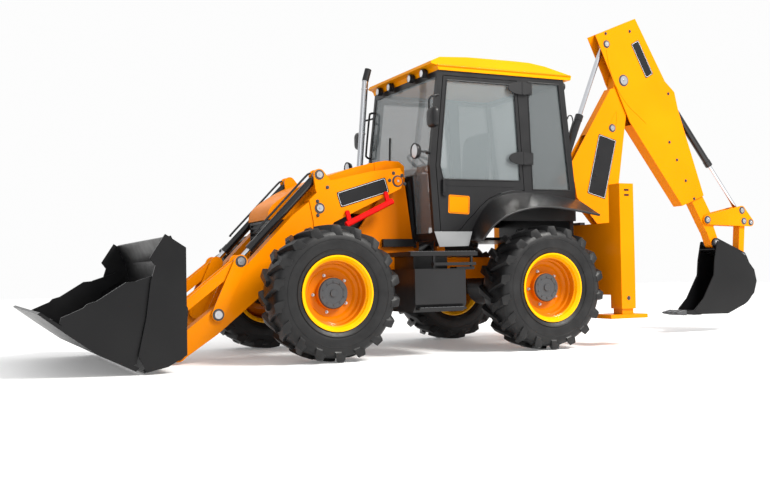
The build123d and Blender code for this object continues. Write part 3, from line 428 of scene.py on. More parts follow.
# Tyres: a swollen carcass with its bead rings, and two rows of bars that fold over the shoulder.
tyreForm = {
    "radius": 0.593, "steps": 108, "seat": (0.170, 0.306),
    "rings": (0.372, 0.462), "ringFace": 0.2135, "ringRise": 0.004,
    "carcass": [(0.184, 0.304), (0.187, 0.330), (0.205, 0.352), (0.214, 0.400), (0.216, 0.448), (0.211, 0.492),
                (0.200, 0.522), (0.176, 0.545), (0.120, 0.556), (0.060, 0.559), (0.0, 0.560)],
}
barForm = {
    "count": 18, "steps": 13, "lean": 0.105, "sweep": 2.15, "curve": 0.9,   # angle along a bar
    "start": -0.012, "length": 0.290, "wall": 0.2, "tuck": 0.017,           # distance from the middle plane
    "foldAt": 0.74, "foldOver": 0.26, "crown": 0.010, "shoulder": 0.21, "drop": 0.078,
    "half": 0.024, "flare": 0.018, "pinch": 0.008, "sink": 0.050, "deeper": 0.006, "undercut": 0.030,
    "section": [(-1.45, 1), (-1.05, 0.16), (-0.86, 0.0), (0.86, 0.0), (1.05, 0.16), (1.45, 1)],
}


def tyreBars():
    # Each bar is a row of cross-sections, s from 0 at the crown to 1 on the side wall:
    # y = start + length s up to the wall, the angle falls by sweep lean s^curve,
    # and the radius drops by drop f^1.3 over the shoulder, where f is the share of the fold.
    s = np.linspace(0, 1, barForm["steps"])
    fold = np.clip((s - barForm["foldAt"]) / barForm["foldOver"], 0, 1)
    reach = np.minimum(barForm["start"] + barForm["length"] * s, barForm["wall"]) + barForm["tuck"] * fold
    top = (tyreForm["radius"] - barForm["crown"] * np.clip(reach / barForm["shoulder"], 0, 1) ** 3
           - barForm["drop"] * fold ** 1.3)
    half = barForm["half"] + barForm["flare"] * s - barForm["pinch"] * fold
    sink = barForm["sink"] + barForm["deeper"] * (1 - s)
    across, down = np.array(barForm["section"])[:, :, None].transpose(1, 2, 0)
    forms = []
    for row in bothSides:
        for count in range(barForm["count"]):
            middle = 2 * np.pi / barForm["count"] * (count + 0.25 * row)
            sweep = middle + barForm["lean"] - barForm["sweep"] * barForm["lean"] * s ** barForm["curve"]
            radius = top[:, None] - down * sink[:, None]
            angle = sweep[:, None] + across * half[:, None] / tyreForm["radius"]
            wide = row * (reach[:, None] - barForm["undercut"] * down * fold[:, None])
            rows = np.stack([radius * np.sin(angle), wide, radius * np.cos(angle)], axis=2)
            corners, faces = grid(rows, closedAcross=False)
            length, size = rows.shape[:2]
            ends = [range(size)[::-1], range((length - 1) * size, length * size)]
            faces = list(faces) + ends
            forms.append((corners, faces if row > 0 else [f[::-1] for f in faces]))
    return forms


hubForm = {
    "face": 0.0802, "profile": [(0, 0), (0, 0.131), (0.010, 0.127), (0.013, 0.114), (0.013, 0.090), (0.009, 0.086),
                                (0.009, 0)],
    "boss": {"lift": 0.009, "radius": 0.032, "depth": 0.012},
    "bolts": {"count": 10, "circle": 0.102, "lift": 0.0125, "radius": 0.0085, "depth": 0.007},
    "nuts": {"count": 5, "circle": 0.166, "lift": 0.0215, "phase": 0.3, "washer": (0.014, 0.004),
             "nut": (0.010, 0.018)},
}


def wheelPieces(corner, centre, outward):
    # A tyre, hub cap and nuts at one wheel. On the right side the tyre is turned half round its Z axis.
    halfTurn = np.array([outward, outward, 1.0])
    wall, seat = tyreForm["carcass"], tyreForm["seat"]
    profile = wall + [(-y, r) for y, r in wall[-2::-1]] + [(-seat[0], seat[1]), seat]
    shell = turned(profile, (0, 0, 0), steps=tyreForm["steps"])[0]
    carcass = grid(shell.reshape(-1, tyreForm["steps"], 3), closedAlong=True)
    face, rise = tyreForm["ringFace"], tyreForm["ringRise"]
    rings = [turned([(sign * face, r - rise), (sign * (face + rise), r), (sign * face, r + rise)],
                    (0, 0, 0), steps=96) for sign in bothSides for r in tyreForm["rings"]]
    forms = [(np.asarray(p) * halfTurn + centre, f) for p, f in [carcass] + rings + tyreBars()]
    tyre = piece("tyreTread_" + corner, forms, paints["tyre"], "wheel_" + corner)
    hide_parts("tyre_" + corner)

    out = (0, outward, 0)
    hubFace = centre + (0, outward * hubForm["face"], 0)
    boss, bolt, nut = hubForm["boss"], hubForm["bolts"], hubForm["nuts"]
    cap = [turned(hubForm["profile"], hubFace, out, steps=64),
           disc(hubFace + (0, outward * boss["lift"], 0), boss["radius"], boss["depth"], out)]
    cap += [disc(spot, bolt["radius"], bolt["depth"], out, steps=6)
            for spot in rosette(hubFace, bolt["circle"], bolt["count"], outward * bolt["lift"])]
    piece("hubCap_" + corner, cap, paints["hubGrey"], "wheel_" + corner)
    nuts = []
    for spot in rosette(centre, nut["circle"], nut["count"], outward * nut["lift"], nut["phase"]):
        nuts += [disc(spot, *nut["washer"], out, steps=20),
                 disc(spot + (0, outward * nut["washer"][1], 0), *nut["nut"], out, steps=6)]
    piece("wheelNuts_" + corner, nuts, paints["steel"], "wheel_" + corner)


# Metres ahead of the rear axle, and the side.
wheels = {"front_left": (wheelbase, 1), "front_right": (wheelbase, -1),
          "rear_left": (0, 1), "rear_right": (0, -1)}
halfTrack = 0.957
for corner, (along, outward) in wheels.items():
    centre = place(along, tyreForm["radius"], outward * halfTrack)
    repaint("rim_" + corner, rimFinish("rim_" + corner + "_paint", centre))
    wheelPieces(corner, centre, outward)
print("wheels made")

# Pins: a bright round head in a dark washer, (body, x, z, outer face, radius), on both sides.
pinHeads = [
    ("arms", 1.288, 1.634, 0.4732, 0.040), ("arms", 2.088, 1.675, 0.4732, 0.030),
    ("arms", 2.090, 1.366, 0.4732, 0.033), ("cranks", 2.850, 0.885, 0.4902, 0.034),
    ("cranks", 3.061, 0.420, 0.4902, 0.036), ("shovel", 3.415, 0.097, 0.4902, 0.036),
    ("shovel", 3.385, 0.470, 0.4902, 0.032), ("kingpost", -1.560, 0.640, 0.0922, 0.044),
    ("kingpost", -1.485, 1.000, 0.0922, 0.030), ("boom", -1.616, 2.341, 0.0572, 0.030),
    ("dipper", -1.777, 2.886, 0.0752, 0.050), ("dipper", -1.549, 3.281, 0.0752, 0.028),
    ("lever", -3.517, 1.434, 0.0782, 0.028), ("lever", -3.655, 1.290, 0.0782, 0.022),
    ("lever", -3.545, 1.305, 0.0782, 0.026), ("inner_dipper", -2.965, 1.317, 0.0842, 0.030),
    ("bucket", -3.095, 1.045, 0.0822, 0.032), ("bucket", -3.512, 0.885, 0.0822, 0.028),
]
pinForm = {"depth": 0.012, "tip": 0.28, "tipDepth": 0.005,
           "washer": [(0, 0.002), (0, 0.017), (0.004, 0.015), (0.0045, 0.002)]}
for body in sorted({row[0] for row in pinHeads}):
    heads, washers = [], []
    for _, x, z, face, radius in [row for row in pinHeads if row[0] == body]:
        for outward in bothSides:
            out = (0, outward, 0)
            spot = place(x, z, outward * face)
            ring = [(rise, radius + wider) for rise, wider in pinForm["washer"]]
            washers.append(turned(ring, spot, out, steps=40))
            top = spot + (0, outward * pinForm["depth"], 0)
            heads += [disc(spot, radius, pinForm["depth"], out, steps=40),
                      disc(top, radius * pinForm["tip"], pinForm["tipDepth"], out, steps=16)]
    piece("pinHeads_" + body, heads, paints["steel"], body)
    piece("pinWashers_" + body, washers, paints["hubGrey"], body)

# Six-sided bolts on washers, (x, z, outer face), on both sides.
bolts = {
    "arms": [(1.214, 1.610, 0.4732), (1.240, 1.690, 0.4732), (1.330, 1.710, 0.4732), (1.372, 1.640, 0.4732),
             (2.010, 1.560, 0.4732), (2.110, 1.430, 0.4732), (2.110, 1.300, 0.4732), (3.020, 0.500, 0.4652)],
    "dipper": [(-2.423, 2.777, 0.0752), (-2.423, 2.213, 0.0752), (-2.529, 2.011, 0.0752), (-2.653, 1.771, 0.0752),
               (-2.774, 1.563, 0.0752), (-1.881, 3.455, 0.0752), (-1.541, 3.400, 0.0752)],
    "shovel": [(3.530, 0.560, 0.4902), (3.530, 0.200, 0.4902)],
}
boltForm = {"washer": (0.017, 0.003), "head": (0.0115, 0.010)}
for body, spots in bolts.items():
    forms = []
    for x, z, face in spots:
        for outward in bothSides:
            out = (0, outward, 0)
            foot, top = place(x, z, outward * face), place(x, z, outward * (face + boltForm["washer"][1]))
            forms += [disc(foot, *boltForm["washer"], out, steps=20), disc(top, *boltForm["head"], out, steps=6)]
    piece("bolts_" + body, forms, paints["hubGrey"], body)
print("pins made")

# Blank panels where such a machine carries its signs:
# (name, body, middle, half size, corner, turn, face, paint, paint of the line, slot, sides).
signs = [
    ("armPanel", "arms", (1.650, 1.520), (0.262, 0.074), 0.014, -0.300, 0.4732, "panelBlack", "panelWhite",
     "frame_black", (1, -1)),
    ("boomPanel", "boom", (-1.460, 1.903), (0.125, 0.345), 0.014, 0.260, 0.0572, "panelBlack", "panelWhite",
     "frame_black", (1, -1)),
    ("headPanel", "dipper", (-2.050, 3.150), (0.062, 0.215), 0.014, -0.500, 0.0752, "panelBlack", "panelWhite",
     "frame_black", (1, -1)),
    ("doorPanel", "door_left", (0.760, 1.400), (0.115, 0.088), 0.016, 0.05, 0.7202, "body_yellow", "panelBlack",
     "body_yellow", (1,)),
]
signForm = {"thick": 0.0016, "inset": 0.010, "line": 0.0018}
for name, body, middle, half, corner, turn, face, paint, linePaint, slot, shown in signs:
    top = face + signForm["thick"]
    plate = panelOutline(middle, half, corner, turn)
    piece(name, [prism(plate, outward * face, outward * top) for outward in shown], paints[paint], body,
          smooth=False)
    inner = panelOutline(middle, (half[0] - signForm["inset"], half[1] - signForm["inset"]), corner, turn)
    piece(name + "Line", [bead for outward in shown for bead in loop(inner, outward * top, signForm["line"])],
          paints[linePaint], body)
print("panels made")

# Cab trim: window seals, a rail and a latch on each door, a wiper, dark strips beside the cowl.
cab = {
    "doorWindow": [(0.925, 1.640), (0.958, 1.770), (0.868, 2.590), (0.112, 2.590), (0.056, 1.640)],
    "rearWindow": [(-0.048, 2.630), (-0.420, 2.630), (-0.535, 1.560), (-0.084, 1.560)],
    "sealFace": 0.719, "seal": 0.007,
    "rail": ((0.500, 1.60), (0.38, 0.022), 0.010), "railFaces": (0.7202, 0.7235),
    "latch": ((0.915, 1.555), (0.030, 0.075), 0.020), "latchFaces": (0.7345, 0.7405),
    "lock": (0.905, 1.600), "lockSize": (0.013, 0.005),
    "strip": [(1.030, 1.000), (1.058, 1.000), (1.112, 1.640), (1.086, 1.660)], "stripFaces": (0.3302, 0.338),
}
for outward, side in named:
    seals = (("doorSeal_", "doorWindow", "door_" + side), ("rearSeal_", "rearWindow", "root"))
    for name, window, body in seals:
        bead = loop(cab[window], outward * cab["sealFace"], cab["seal"])
        piece(name + side, bead, paints["hose"], body)
    rail = prism(panelOutline(*cab["rail"]), *(outward * face for face in cab["railFaces"]))
    piece("doorRail_" + side, [rail], paints["cab_grey"], "door_" + side, smooth=False)
    latch = [prism(panelOutline(*cab["latch"]), *(outward * face for face in cab["latchFaces"])),
             disc(place(*cab["lock"], outward * cab["latchFaces"][1]), *cab["lockSize"], (0, outward, 0))]
    piece("doorLatch_" + side, latch, paints["panelBlack"], "door_" + side, bevel=0.002)

# Points as (x, z, y), radius.
wiper = [([(1.071, 1.150, -0.10), (1.100, 1.60, -0.14), (1.082, 1.90, -0.20)], 0.007),
         ([(1.072, 1.68, -0.16), (1.046, 1.90, -0.20), (1.018, 2.15, -0.24)], 0.010)]
piece("wiper", [swept([place(*spot) for spot in spots], radius, count=6) for spots, radius in wiper],
      paints["hose"], "root")
strips = [prism(cab["strip"], *(outward * face for face in cab["stripFaces"])) for outward in bothSides]
piece("cowlStrips", strips, paints["panelBlack"], "root", bevel=0.002)

# Roof: a drip rail along each side.
roofRail = {"x": (0.975, 0.500, 0.0, -0.400, -0.555), "z": 2.722, "y": 0.7365, "radius": 0.009}
roofLine = [(x, roofRail["z"]) for x in roofRail["x"]]
gutter = [swept(path(roofLine, outward * roofRail["y"]), roofRail["radius"], count=2) for outward in bothSides]
piece("roofRails", gutter, paints["body_yellow"], "root")
print("cab trim made")

# Seat: crowned cushion and back with pulled-in sides and sewn channels, on a plain pedestal.
seatForm = {
    "cushion": {"middle": (0.33, 1.545), "half": (0.25, 0.245, 0.075), "lean": 0.0},
    "back": {"middle": (0.135, 1.90), "half": (0.30, 0.235, 0.07), "lean": 1.66},
    "pullIn": 0.04, "steps": 13, "channels": (0.010, 0.45, 0.05), "crossChannel": (0.008, 0.1, 0.06),
    "column": ((0.20, 1.0905, -0.17), (0.47, 1.48, 0.17)), "plate": ((0.12, 1.455, -0.23), (0.56, 1.475, 0.23)),
}


def cushion(middle, half, lean):
    # A closed pillow: a square grid u, v in [-1, 1] with a crown of h ((1 - u^6)(1 - v^6))^0.6 each side,
    # less two channels along it and one across, each depth exp(-((distance) / width)^2).
    # Its sides are drawn in by pullIn u v^2 and pullIn v u^2.
    steps = np.linspace(-1, 1, seatForm["steps"])
    u, v = np.meshgrid(steps, steps, indexing="ij")
    crown = (1 - np.abs(u) ** 6) * (1 - np.abs(v) ** 6)
    depth, middleV, width = seatForm["channels"]
    crossDepth, middleU, crossWidth = seatForm["crossChannel"]
    channel = (depth * np.exp(-((np.abs(v) - middleV) / width) ** 2)
               + crossDepth * np.exp(-((u - middleU) / crossWidth) ** 2))
    across = half[0] * u * (1 - seatForm["pullIn"] * v ** 2)
    along = half[1] * v * (1 - seatForm["pullIn"] * u ** 2)
    faces = []
    for sign in (1, -1):
        height = sign * (half[2] * crown ** 0.6 - channel * crown * (sign > 0))
        x = across * np.cos(lean) - height * np.sin(lean)
        z = across * np.sin(lean) + height * np.cos(lean)
        faces.append(np.stack([middle[0] + rearAxle + x, along, middle[1] + z], axis=2))
    top, under = [grid(rows, closedAcross=False) for rows in faces]
    return np.vstack([top[0], under[0]]), list(top[1]) + list(under[1][:, ::-1] + len(top[0]))


for name, form in (("seatCushion", seatForm["cushion"]), ("seatBack", seatForm["back"])):
    pad = piece(name, [cushion(**form)], paints["seatCloth"], "root")
blocks = [block(place(*low), place(*high)) for low, high in (seatForm["column"], seatForm["plate"])]
pedestal = piece("seatPedestal", blocks, paints["frame_black"], "root", bevel=0.01)
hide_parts("seat")

# Steering wheel with three spokes and its column, over the console, and two levers.
steering = {"hub": (0.74, 1.86), "foot": (0.84, 1.7505), "tilt": 0.5, "radius": 0.19, "steps": 41,
            "grip": 0.014, "spokes": (0.5, 2.6, 4.71), "spoke": 0.011, "column": 0.03}


def wheelSpot(angle):
    # p = hub + radius (cos t a + sin t b), a tilted up, b along Y.
    angle = np.asarray(angle)[..., None]
    tilted = np.array((np.cos(steering["tilt"]), 0, np.sin(steering["tilt"])))
    return place(*steering["hub"]) + steering["radius"] * (np.cos(angle) * tilted + np.sin(angle) * (0, 1, 0))


hubSpot = place(*steering["hub"])
wholeTurn = np.linspace(0, 2 * np.pi, steering["steps"])
wheelRim = [swept(wheelSpot(wholeTurn), steering["grip"], sides=10, count=0)]
wheelRim += [swept([hubSpot, wheelSpot(angle)], steering["spoke"], sides=8, count=0)
             for angle in steering["spokes"]]
wheelRim.append(swept([hubSpot, place(*steering["foot"])], steering["column"], count=0))
piece("steeringWheel", wheelRim, paints["hose"], "root")
lever = {
    "y": 0.36, "stem": [(0.30, 1.0905), (0.34, 1.40), (0.36, 1.62)], "radius": 0.012, "knobAt": (0.36, 1.60),
    "knob": [(0, 0), (0, 0.022), (0.03, 0.03), (0.07, 0.026), (0.085, 0)], "knobAxis": (0.1, 0, 1),
}
levers = []
for outward in bothSides:
    levers += [swept(path(lever["stem"], outward * lever["y"]), lever["radius"]),
               turned(lever["knob"], place(*lever["knobAt"], outward * lever["y"]), lever["knobAxis"])]
piece("controlLevers", levers, paints["hose"], "root")
print("cab inside made")

# Mirrors and round lamps on stalks, in place of the plain CAD ones. Points as (x, z, y).
mirrorForm = {
    "arm": [(0.990, 2.428, 0.722), (0.995, 2.428, 0.785), (1.030, 2.420, 0.802), (1.085, 2.400, 0.800),
            (1.105, 2.360, 0.800), (1.105, 2.285, 0.800)],
    "middle": (0.850, 2.200), "half": (0.083, 0.094), "glassHalf": (0.072, 0.083), "steps": 40, "power": 0.5,
    "shell": [(1.079, 0.93), (1.076, 0.98), (1.080, 1.0), (1.098, 1.0), (1.116, 0.94), (1.127, 0.80),
              (1.133, 0.55), (1.134, 0.01)],
    "glass": [(1.0765, 0.98), (1.0785, 1.0)], "tube": 0.010,
}
roundLamp = {
    "stalk": [(1.058, 1.884, 0.698), (1.092, 1.884, 0.700), (1.102, 1.884, 0.735), (1.106, 1.884, 0.775),
              (1.140, 1.884, 0.795), (1.225, 1.884, 0.800)],
    "head": (1.268, 1.884, 0.8), "lensAt": (1.2682, 1.884, 0.8),
    "profile": [(-0.056, 0.0), (-0.054, 0.030), (-0.040, 0.060), (-0.012, 0.073), (0.0, 0.075), (0.006, 0.073),
                (0.006, 0.066), (0.0, 0.064), (0.0, 0.0)],
    "lens": [(0, 0), (0, 0.063), (0.004, 0.055), (0.0055, 0.0)],
}


def squircle(sections, half, outward):
    # Superellipse sections across X: (y, z) = middle + size half (|cos t|^p, |sin t|^p) with their signs.
    t = np.linspace(0, 2 * np.pi, mirrorForm["steps"], endpoint=False)
    circle = np.stack([np.cos(t), np.sin(t)], axis=1)
    square = np.sign(circle) * np.abs(circle) ** mirrorForm["power"]
    x, size = np.array(sections).T[:, :, None]
    y = outward * mirrorForm["middle"][0] + half[0] * size * square[:, 0]
    z = mirrorForm["middle"][1] + half[1] * size * square[:, 1]
    return grid(np.stack([x + rearAxle + 0 * y, y, z], axis=2))


def mirroredSpot(spot, outward):
    return place(spot[0], spot[1], outward * spot[2])


mirrorParts, mirrorGlass, roundLens = [], [], []
ring = np.arange(mirrorForm["steps"])
for outward in bothSides:
    for line in (mirrorForm["arm"], roundLamp["stalk"]):
        mirrorParts.append(swept([mirroredSpot(spot, outward) for spot in line], mirrorForm["tube"], count=5))
    mirrorParts.append(turned(roundLamp["profile"], mirroredSpot(roundLamp["head"], outward), (1, 0, 0)))
    roundLens.append(turned(roundLamp["lens"], mirroredSpot(roundLamp["lensAt"], outward), (1, 0, 0)))
for outward in bothSides:
    corners, faces = squircle(mirrorForm["shell"], mirrorForm["half"], outward)
    mirrorParts.append((corners, list(faces) + [ring[::-1]]))
    corners, faces = squircle(mirrorForm["glass"], mirrorForm["glassHalf"], outward)
    mirrorGlass.append((corners, list(faces) + [ring, ring[::-1] + len(ring)]))
mirrorHeads = piece("mirrorHeads", mirrorParts, paints["frame_black"], "root")
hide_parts("mirrors")
piece("mirrorGlass", mirrorGlass, paints["chrome"], "root")
piece("roundLenses", roundLens, paints["lens"], "root")

# Work lamps: pale lenses in the round bodies under the roof.
workLamp = {"at": (1.0302, 2.680), "y": (0.504, 0.237),
            "lens": [(0, 0), (0, 0.033), (0.003, 0.030), (0.006, 0.0)]}
lenses = [turned(workLamp["lens"], place(*workLamp["at"], outward * y), (1, 0, 0))
          for outward in bothSides for y in workLamp["y"]]
piece("workLenses", lenses, paints["lens"], "root")
print("lamps and mirrors made")

# Exhaust: a dark tip and three bands round the pipe.
exhaust = {
    "y": -0.25, "tipTop": (1.247, 2.852), "tipFoot": (1.283, 2.730), "pipeFoot": (1.4, 1.4),
    "tip": [(0.0, 0.0322), (0.0, 0.0350), (0.1285, 0.0350), (0.1285, 0.0268), (0.110, 0.0268)],
    "band": [(0, 0.0325), (0, 0.036), (0.012, 0.036), (0.012, 0.0325)],
    "bandsAt": [(1.385, 1.570), (1.330, 2.180), (1.290, 2.640)],
}
tipFoot = place(*exhaust["tipFoot"], exhaust["y"])
tip = turned(exhaust["tip"], tipFoot, place(*exhaust["tipTop"], exhaust["y"]) - tipFoot)
piece("exhaustTip", [tip], paints["frame_black"], "root")
pipeAxis = place(*exhaust["tipFoot"]) - place(*exhaust["pipeFoot"])
bands = [turned(exhaust["band"], place(*spot, exhaust["y"]), pipeAxis) for spot in exhaust["bandsAt"]]
piece("exhaustBands", bands, paints["steel"], "root")

# Loader: pipes along the tilt rams, hoses on the arms, studs on the clam, beads on the shovel's sides.
loaderTrim = {
    "tiltPipe": [(2.150, 1.690), (2.190, 1.668), (2.400, 1.450), (2.660, 1.180), (2.690, 1.140)],
    "tiltPipeY": (0.384, 0.416), "tiltPipeRadius": 0.007,
    "armHose": [(1.330, 1.700), (1.460, 1.690), (1.700, 1.640), (1.980, 1.560), (2.060, 1.500)],
    "armHoseY": 0.318, "armHoseRadius": 0.010,
    "stud": (4.512, 0.4445), "studs": 9, "studSpan": 1.05, "studSize": (0.014, 0.008),
    "studAxis": (-0.62, 0, 0.78),
    "sideBead": [(3.655, 1.082), (3.760, 0.925), (3.735, 0.850), (3.770, 0.730), (3.806, 0.445), (3.872, 0.152),
                 (3.822, 0.040)], "sideBeadY": 1.1748, "sideBeadRadius": 0.005,
}
pipes = [swept(path(loaderTrim["tiltPipe"], outward * y), loaderTrim["tiltPipeRadius"], count=6)
         for outward in bothSides for y in loaderTrim["tiltPipeY"]]
piece("tiltPipes", pipes, paints["hose"], "tilt_barrels")
hoses = [swept(path(loaderTrim["armHose"], outward * loaderTrim["armHoseY"]), loaderTrim["armHoseRadius"])
         for outward in bothSides]
piece("armHoses", hoses, paints["hose"], "arms")
studs = [disc(place(*loaderTrim["stud"], y), *loaderTrim["studSize"], loaderTrim["studAxis"], steps=16)
         for y in np.linspace(-loaderTrim["studSpan"], loaderTrim["studSpan"], loaderTrim["studs"])]
piece("shovelStuds", studs, paints["steel"], "clam")
sideBeads = [bead for outward in bothSides
             for bead in strung(path(loaderTrim["sideBead"], outward * loaderTrim["sideBeadY"]),
                                loaderTrim["sideBeadRadius"])]
piece("shovelSideBeads", sideBeads, paints["bucket_grey"], "shovel")
print("loader trim made")

# Rear arm: an oil pipe with a bent end beside the dipper's ram, as (reach along the ram, distance off it).
ramPipe = {"foot": (-0.905, 1.735), "eye": (-1.549, 3.281), "clear": 0.0525, "radius": 0.007,
           "stations": [(0.150, 0.0), (0.400, 0.0), (0.660, 0.0), (0.710, 0.012), (0.745, 0.045), (0.728, 0.078),
                        (0.690, 0.080)]}
ramFoot = place(*ramPipe["foot"])
ramAxis = (place(*ramPipe["eye"]) - ramFoot) / np.linalg.norm(place(*ramPipe["eye"]) - ramFoot)
ramSide = np.array((ramAxis[2], 0.0, -ramAxis[0]))
reach, off = np.array(ramPipe["stations"]).T[:, :, None]
pipe = swept(ramFoot + ramAxis * reach + ramSide * (ramPipe["clear"] + off), ramPipe["radius"], count=6)
piece("dipperPipe", [pipe], paints["hose"], "dipper_barrel")

# A raised weld seam on each cheek of the dipper.
seam = {"line": [(-1.545, 3.215), (-1.580, 3.030), (-1.665, 2.820), (-1.830, 2.610), (-2.000, 2.480),
                 (-2.090, 2.410)],
        "y": 0.0755, "radius": 0.0035}
beads = [swept(path(seam["line"], outward * seam["y"]), seam["radius"], sides=8) for outward in bothSides]
piece("dipperSeams", beads, paints["body_yellow"], "dipper")

# Lock plate over the ram's upper pin on the boom: a pear outline
# p(t) = foot + L (1 - cos t) / 2 d + w(t) sin t n, whose half width w falls evenly from foot to tip.
lock = {"foot": (-1.600, 2.297), "tip": (-1.682, 2.530), "wide": 0.056, "narrow": 0.014, "steps": 48,
        "y": 0.0575, "radius": 0.0022}
lockFoot, lockRise = np.array(lock["foot"]), np.array(lock["tip"]) - np.array(lock["foot"])
turns = np.linspace(0, 2 * np.pi, lock["steps"], endpoint=False)
rise = (1 - np.cos(turns)) / 2
lockAcross = np.array((-lockRise[1], lockRise[0])) / np.linalg.norm(lockRise)
wide = lock["wide"] + (lock["narrow"] - lock["wide"]) * rise
pear = lockFoot + rise[:, None] * lockRise + (wide * np.sin(turns))[:, None] * lockAcross
piece("boomLock", [bead for outward in bothSides for bead in loop(pear, outward * lock["y"], lock["radius"])],
      paints["body_yellow"], "boom")

# Backhoe bucket: a tip on each tooth and a bead along each side edge.
bucketTrim = {
    "tip": [(-2.560, 0.203), (-2.560, 0.266), (-2.440, 0.242), (-2.438, 0.226)],
    "tipsY": (-0.112, -0.037, 0.037, 0.112), "tipHalf": 0.0235,
    "edge": [(-3.058, 1.060), (-3.008, 0.843), (-2.989, 0.662), (-2.819, 0.390), (-2.690, 0.272)],
    "edgeY": 0.1385, "edgeRadius": 0.006,
}
tips = [prism(bucketTrim["tip"], y - bucketTrim["tipHalf"], y + bucketTrim["tipHalf"])
        for y in bucketTrim["tipsY"]]
piece("bucketTips", tips, paints["hubGrey"], "bucket", bevel=0.002)
edges = [bead for outward in bothSides
         for bead in strung(path(bucketTrim["edge"], outward * bucketTrim["edgeY"]), bucketTrim["edgeRadius"])]
piece("bucketSideEdges", edges, paints["bucket_grey"], "bucket")

# Stabilisers: two slots near the top, a bolt near the foot and a weld across each pad.
leg = {
    "face": 1.1702, "x": -0.880,
    "slotsZ": (1.535, 1.485), "slot": ((0.030, 0.009), 0.008), "slotThick": 0.002,
    "boltZ": 0.470, "washer": (0.020, 0.004), "head": (0.013, 0.0055),
    "weld": [(-0.955, 0.3125), (-0.805, 0.3125)], "weldY": 1.160, "weldRadius": 0.004,
}
for outward, side in named:
    face, out = outward * leg["face"], (0, outward, 0)
    slots = [prism(panelOutline((leg["x"], z), *leg["slot"]), face, face + outward * leg["slotThick"])
             for z in leg["slotsZ"]]
    piece("legSlots_" + side, slots, paints["panelBlack"], "root", smooth=False)
    bolt = [disc(place(leg["x"], leg["boltZ"], face), *leg["washer"], out),
            disc(place(leg["x"], leg["boltZ"], face + outward * leg["washer"][1]), *leg["head"], out, steps=6)]
    piece("legBolt_" + side, bolt, paints["hubGrey"], "root")
    weld = swept(path(leg["weld"], outward * leg["weldY"]), leg["weldRadius"], count=0)
    piece("padWeld_" + side, [weld], paints["body_yellow"], "stabiliser_" + side)
print("rear arm trim made")

# Steps: studs on both treads, (first x, last x, height, Y of the rows, radius), and pale faces on the boxes.
stepForm = {
    "treads": [(0.960, 1.400, 0.440, (1.058, 1.080, 1.102), 0.007),
               (0.800, 1.460, 0.945, (0.98, 1.02, 1.06), 0.008)],
    "spacing": 0.045, "studDepth": 0.004,
    "boxFace": [(0.672, 1.136), (1.074, 1.136), (1.024, 0.996), (0.712, 1.003)], "boxFaces": (0.8002, 0.806),
}
studs = [disc(place(x, z, outward * y), radius, stepForm["studDepth"], (0, 0, 1), steps=10)
         for outward in bothSides for first, last, z, rowsY, radius in stepForm["treads"]
         for x in np.arange(first, last, stepForm["spacing"]) for y in rowsY]
piece("stepStuds", studs, paints["stepSilver"], "root")

# Fenders: a rolled rim along the outer edge.
fenderRim = {"line": [(0.735, 1.047), (0.600, 1.189), (0.400, 1.299), (0.090, 1.359), (-0.250, 1.341),
                      (-0.600, 1.289)],
             "y": 1.100, "radius": 0.012}
rolled = [swept(path(fenderRim["line"], outward * fenderRim["y"]), fenderRim["radius"]) for outward in bothSides]
piece("fenderRims", rolled, paints["frame_black"], "root")
boxFaces = [prism(stepForm["boxFace"], *(outward * face for face in stepForm["boxFaces"]))
            for outward in bothSides]
piece("stepBoxFaces", boxFaces, paints["stepSilver"], "root", bevel=0.002)

# A grab bar by the windscreen, on the right.
grab = {"line": [(0.984, 2.487), (1.022, 2.478), (1.040, 2.430), (1.083, 2.060), (1.080, 2.010), (1.044, 1.990)],
        "y": -0.700, "radius": 0.011}
bar = swept(path(grab["line"], grab["y"]), grab["radius"], count=6)
piece("grabBar", [bar], paints["hose"], "root")

# Oval hinge covers, split at the door's hinge line: half an ellipse on each side.
hingeCover = {"x": 0.030, "heights": (2.560, 1.865), "ahead": 0.150, "behind": 0.095, "tall": 0.060, "gap": 0.012,
              "faces": (0.7353, 0.7475)}
quarters = np.linspace(-np.pi / 2, np.pi / 2, 21)
for outward, side in named:
    for sign, span, body, label in ((1, "ahead", "door_" + side, "door"), (-1, "behind", "root", "cab")):
        x = hingeCover["x"] + sign * (hingeCover["gap"] + hingeCover[span] * np.cos(quarters))
        ovals = [prism(np.stack([x, z + hingeCover["tall"] * np.sin(quarters)], axis=1),
                       *(outward * face for face in hingeCover["faces"])) for z in hingeCover["heights"]]
        piece("hingePods_" + side + "_" + label, ovals, paints["frame_black"], body, bevel=0.003)
print("steps and fenders made")

studio = {
    "floor": 60.0, "floorShade": 0.82, "floorGlow": 0.16, "sky": 0.98,
    "lens": 45.15, "sensor": 36.0, "eye": (5.341, 0.766, 8.751), "yaw": 0.441, "pitch": 0.023, "roll": -0.018,
    "target": (0, 0, 1.0), "boxSize": (6.0, 6.0),
    "key": {"spot": (-7.0, 12.0, 14.0), "power": 6100, "colour": (1.0, 0.98, 0.94)},
    "fill": {"spot": (8.0, 9.0, 5.0), "power": 120, "colour": (1.0, 1.0, 1.0)},
}


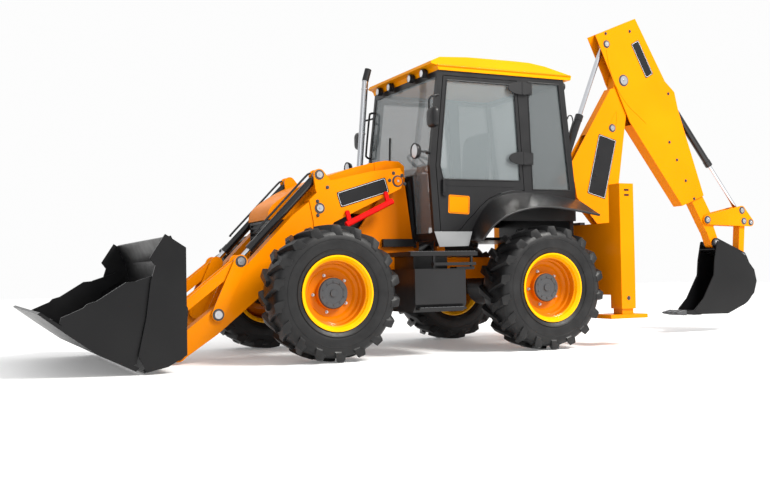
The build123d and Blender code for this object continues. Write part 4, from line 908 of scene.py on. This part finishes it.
def stageFloor():
    # A flat square floor, one face.
    half = studio["floor"] / 2
    mesh = bpy.data.meshes.new("floor")
    mesh.from_pydata([(-half, -half, 0), (half, -half, 0), (half, half, 0), (-half, half, 0)], [], [(0, 1, 2, 3)])
    floor = bpy.data.objects.new("floor", mesh)
    bpy.context.scene.collection.objects.link(floor)
    shade = studio["floorShade"]
    paper = Finish("paperWhite", Base_Color=(shade, shade, shade, 1.0), Roughness=0.55, Specular_IOR_Level=0.25,
                   Emission_Color=(1.0, 1.0, 1.0, 1.0), Emission_Strength=studio["floorGlow"])
    mesh.materials.append(paper.material)


def softbox(name, spot, power, colour):
    # A square area lamp that looks at the target.
    lamp = bpy.data.lights.new(name, "AREA")
    lamp.shape = "RECTANGLE"
    lamp.size, lamp.size_y = studio["boxSize"]
    lamp.energy = power
    lamp.color = colour
    holder = bpy.data.objects.new(name, lamp)
    bpy.context.scene.collection.objects.link(holder)
    holder.location = spot
    holder.rotation_euler = (Vector(studio["target"]) - Vector(spot)).to_track_quat("-Z", "Y").to_euler()


def skyLight():
    # An even white sky all round.
    sky = bpy.data.worlds.new("sky")
    sky.use_nodes = True
    background = sky.node_tree.nodes["Background"]
    background.inputs["Color"].default_value = (1.0, 1.0, 1.0, 1.0)
    background.inputs["Strength"].default_value = studio["sky"]
    bpy.context.scene.world = sky


def viewpoint():
    # The camera: yaw about Z, then pitch about its own X, then roll about its line of sight.
    lens = bpy.data.cameras.new("view")
    lens.lens = studio["lens"]
    lens.sensor_width = studio["sensor"]
    camera = bpy.data.objects.new("view", lens)
    bpy.context.scene.collection.objects.link(camera)
    turn = Matrix.Rotation(np.pi - studio["yaw"], 4, "Z") @ Matrix.Rotation(np.pi / 2 + studio["pitch"], 4, "X")
    turn = turn @ Matrix.Rotation(studio["roll"], 4, "Z")
    camera.matrix_world = Matrix.Translation(Vector(place(*studio["eye"]))) @ turn
    bpy.context.scene.camera = camera


stageFloor()
skyLight()
softbox("key", **studio["key"])
softbox("fill", **studio["fill"])
viewpoint()
bpy.context.scene.view_settings.view_transform = "Standard"
print("stage, lights and camera set")
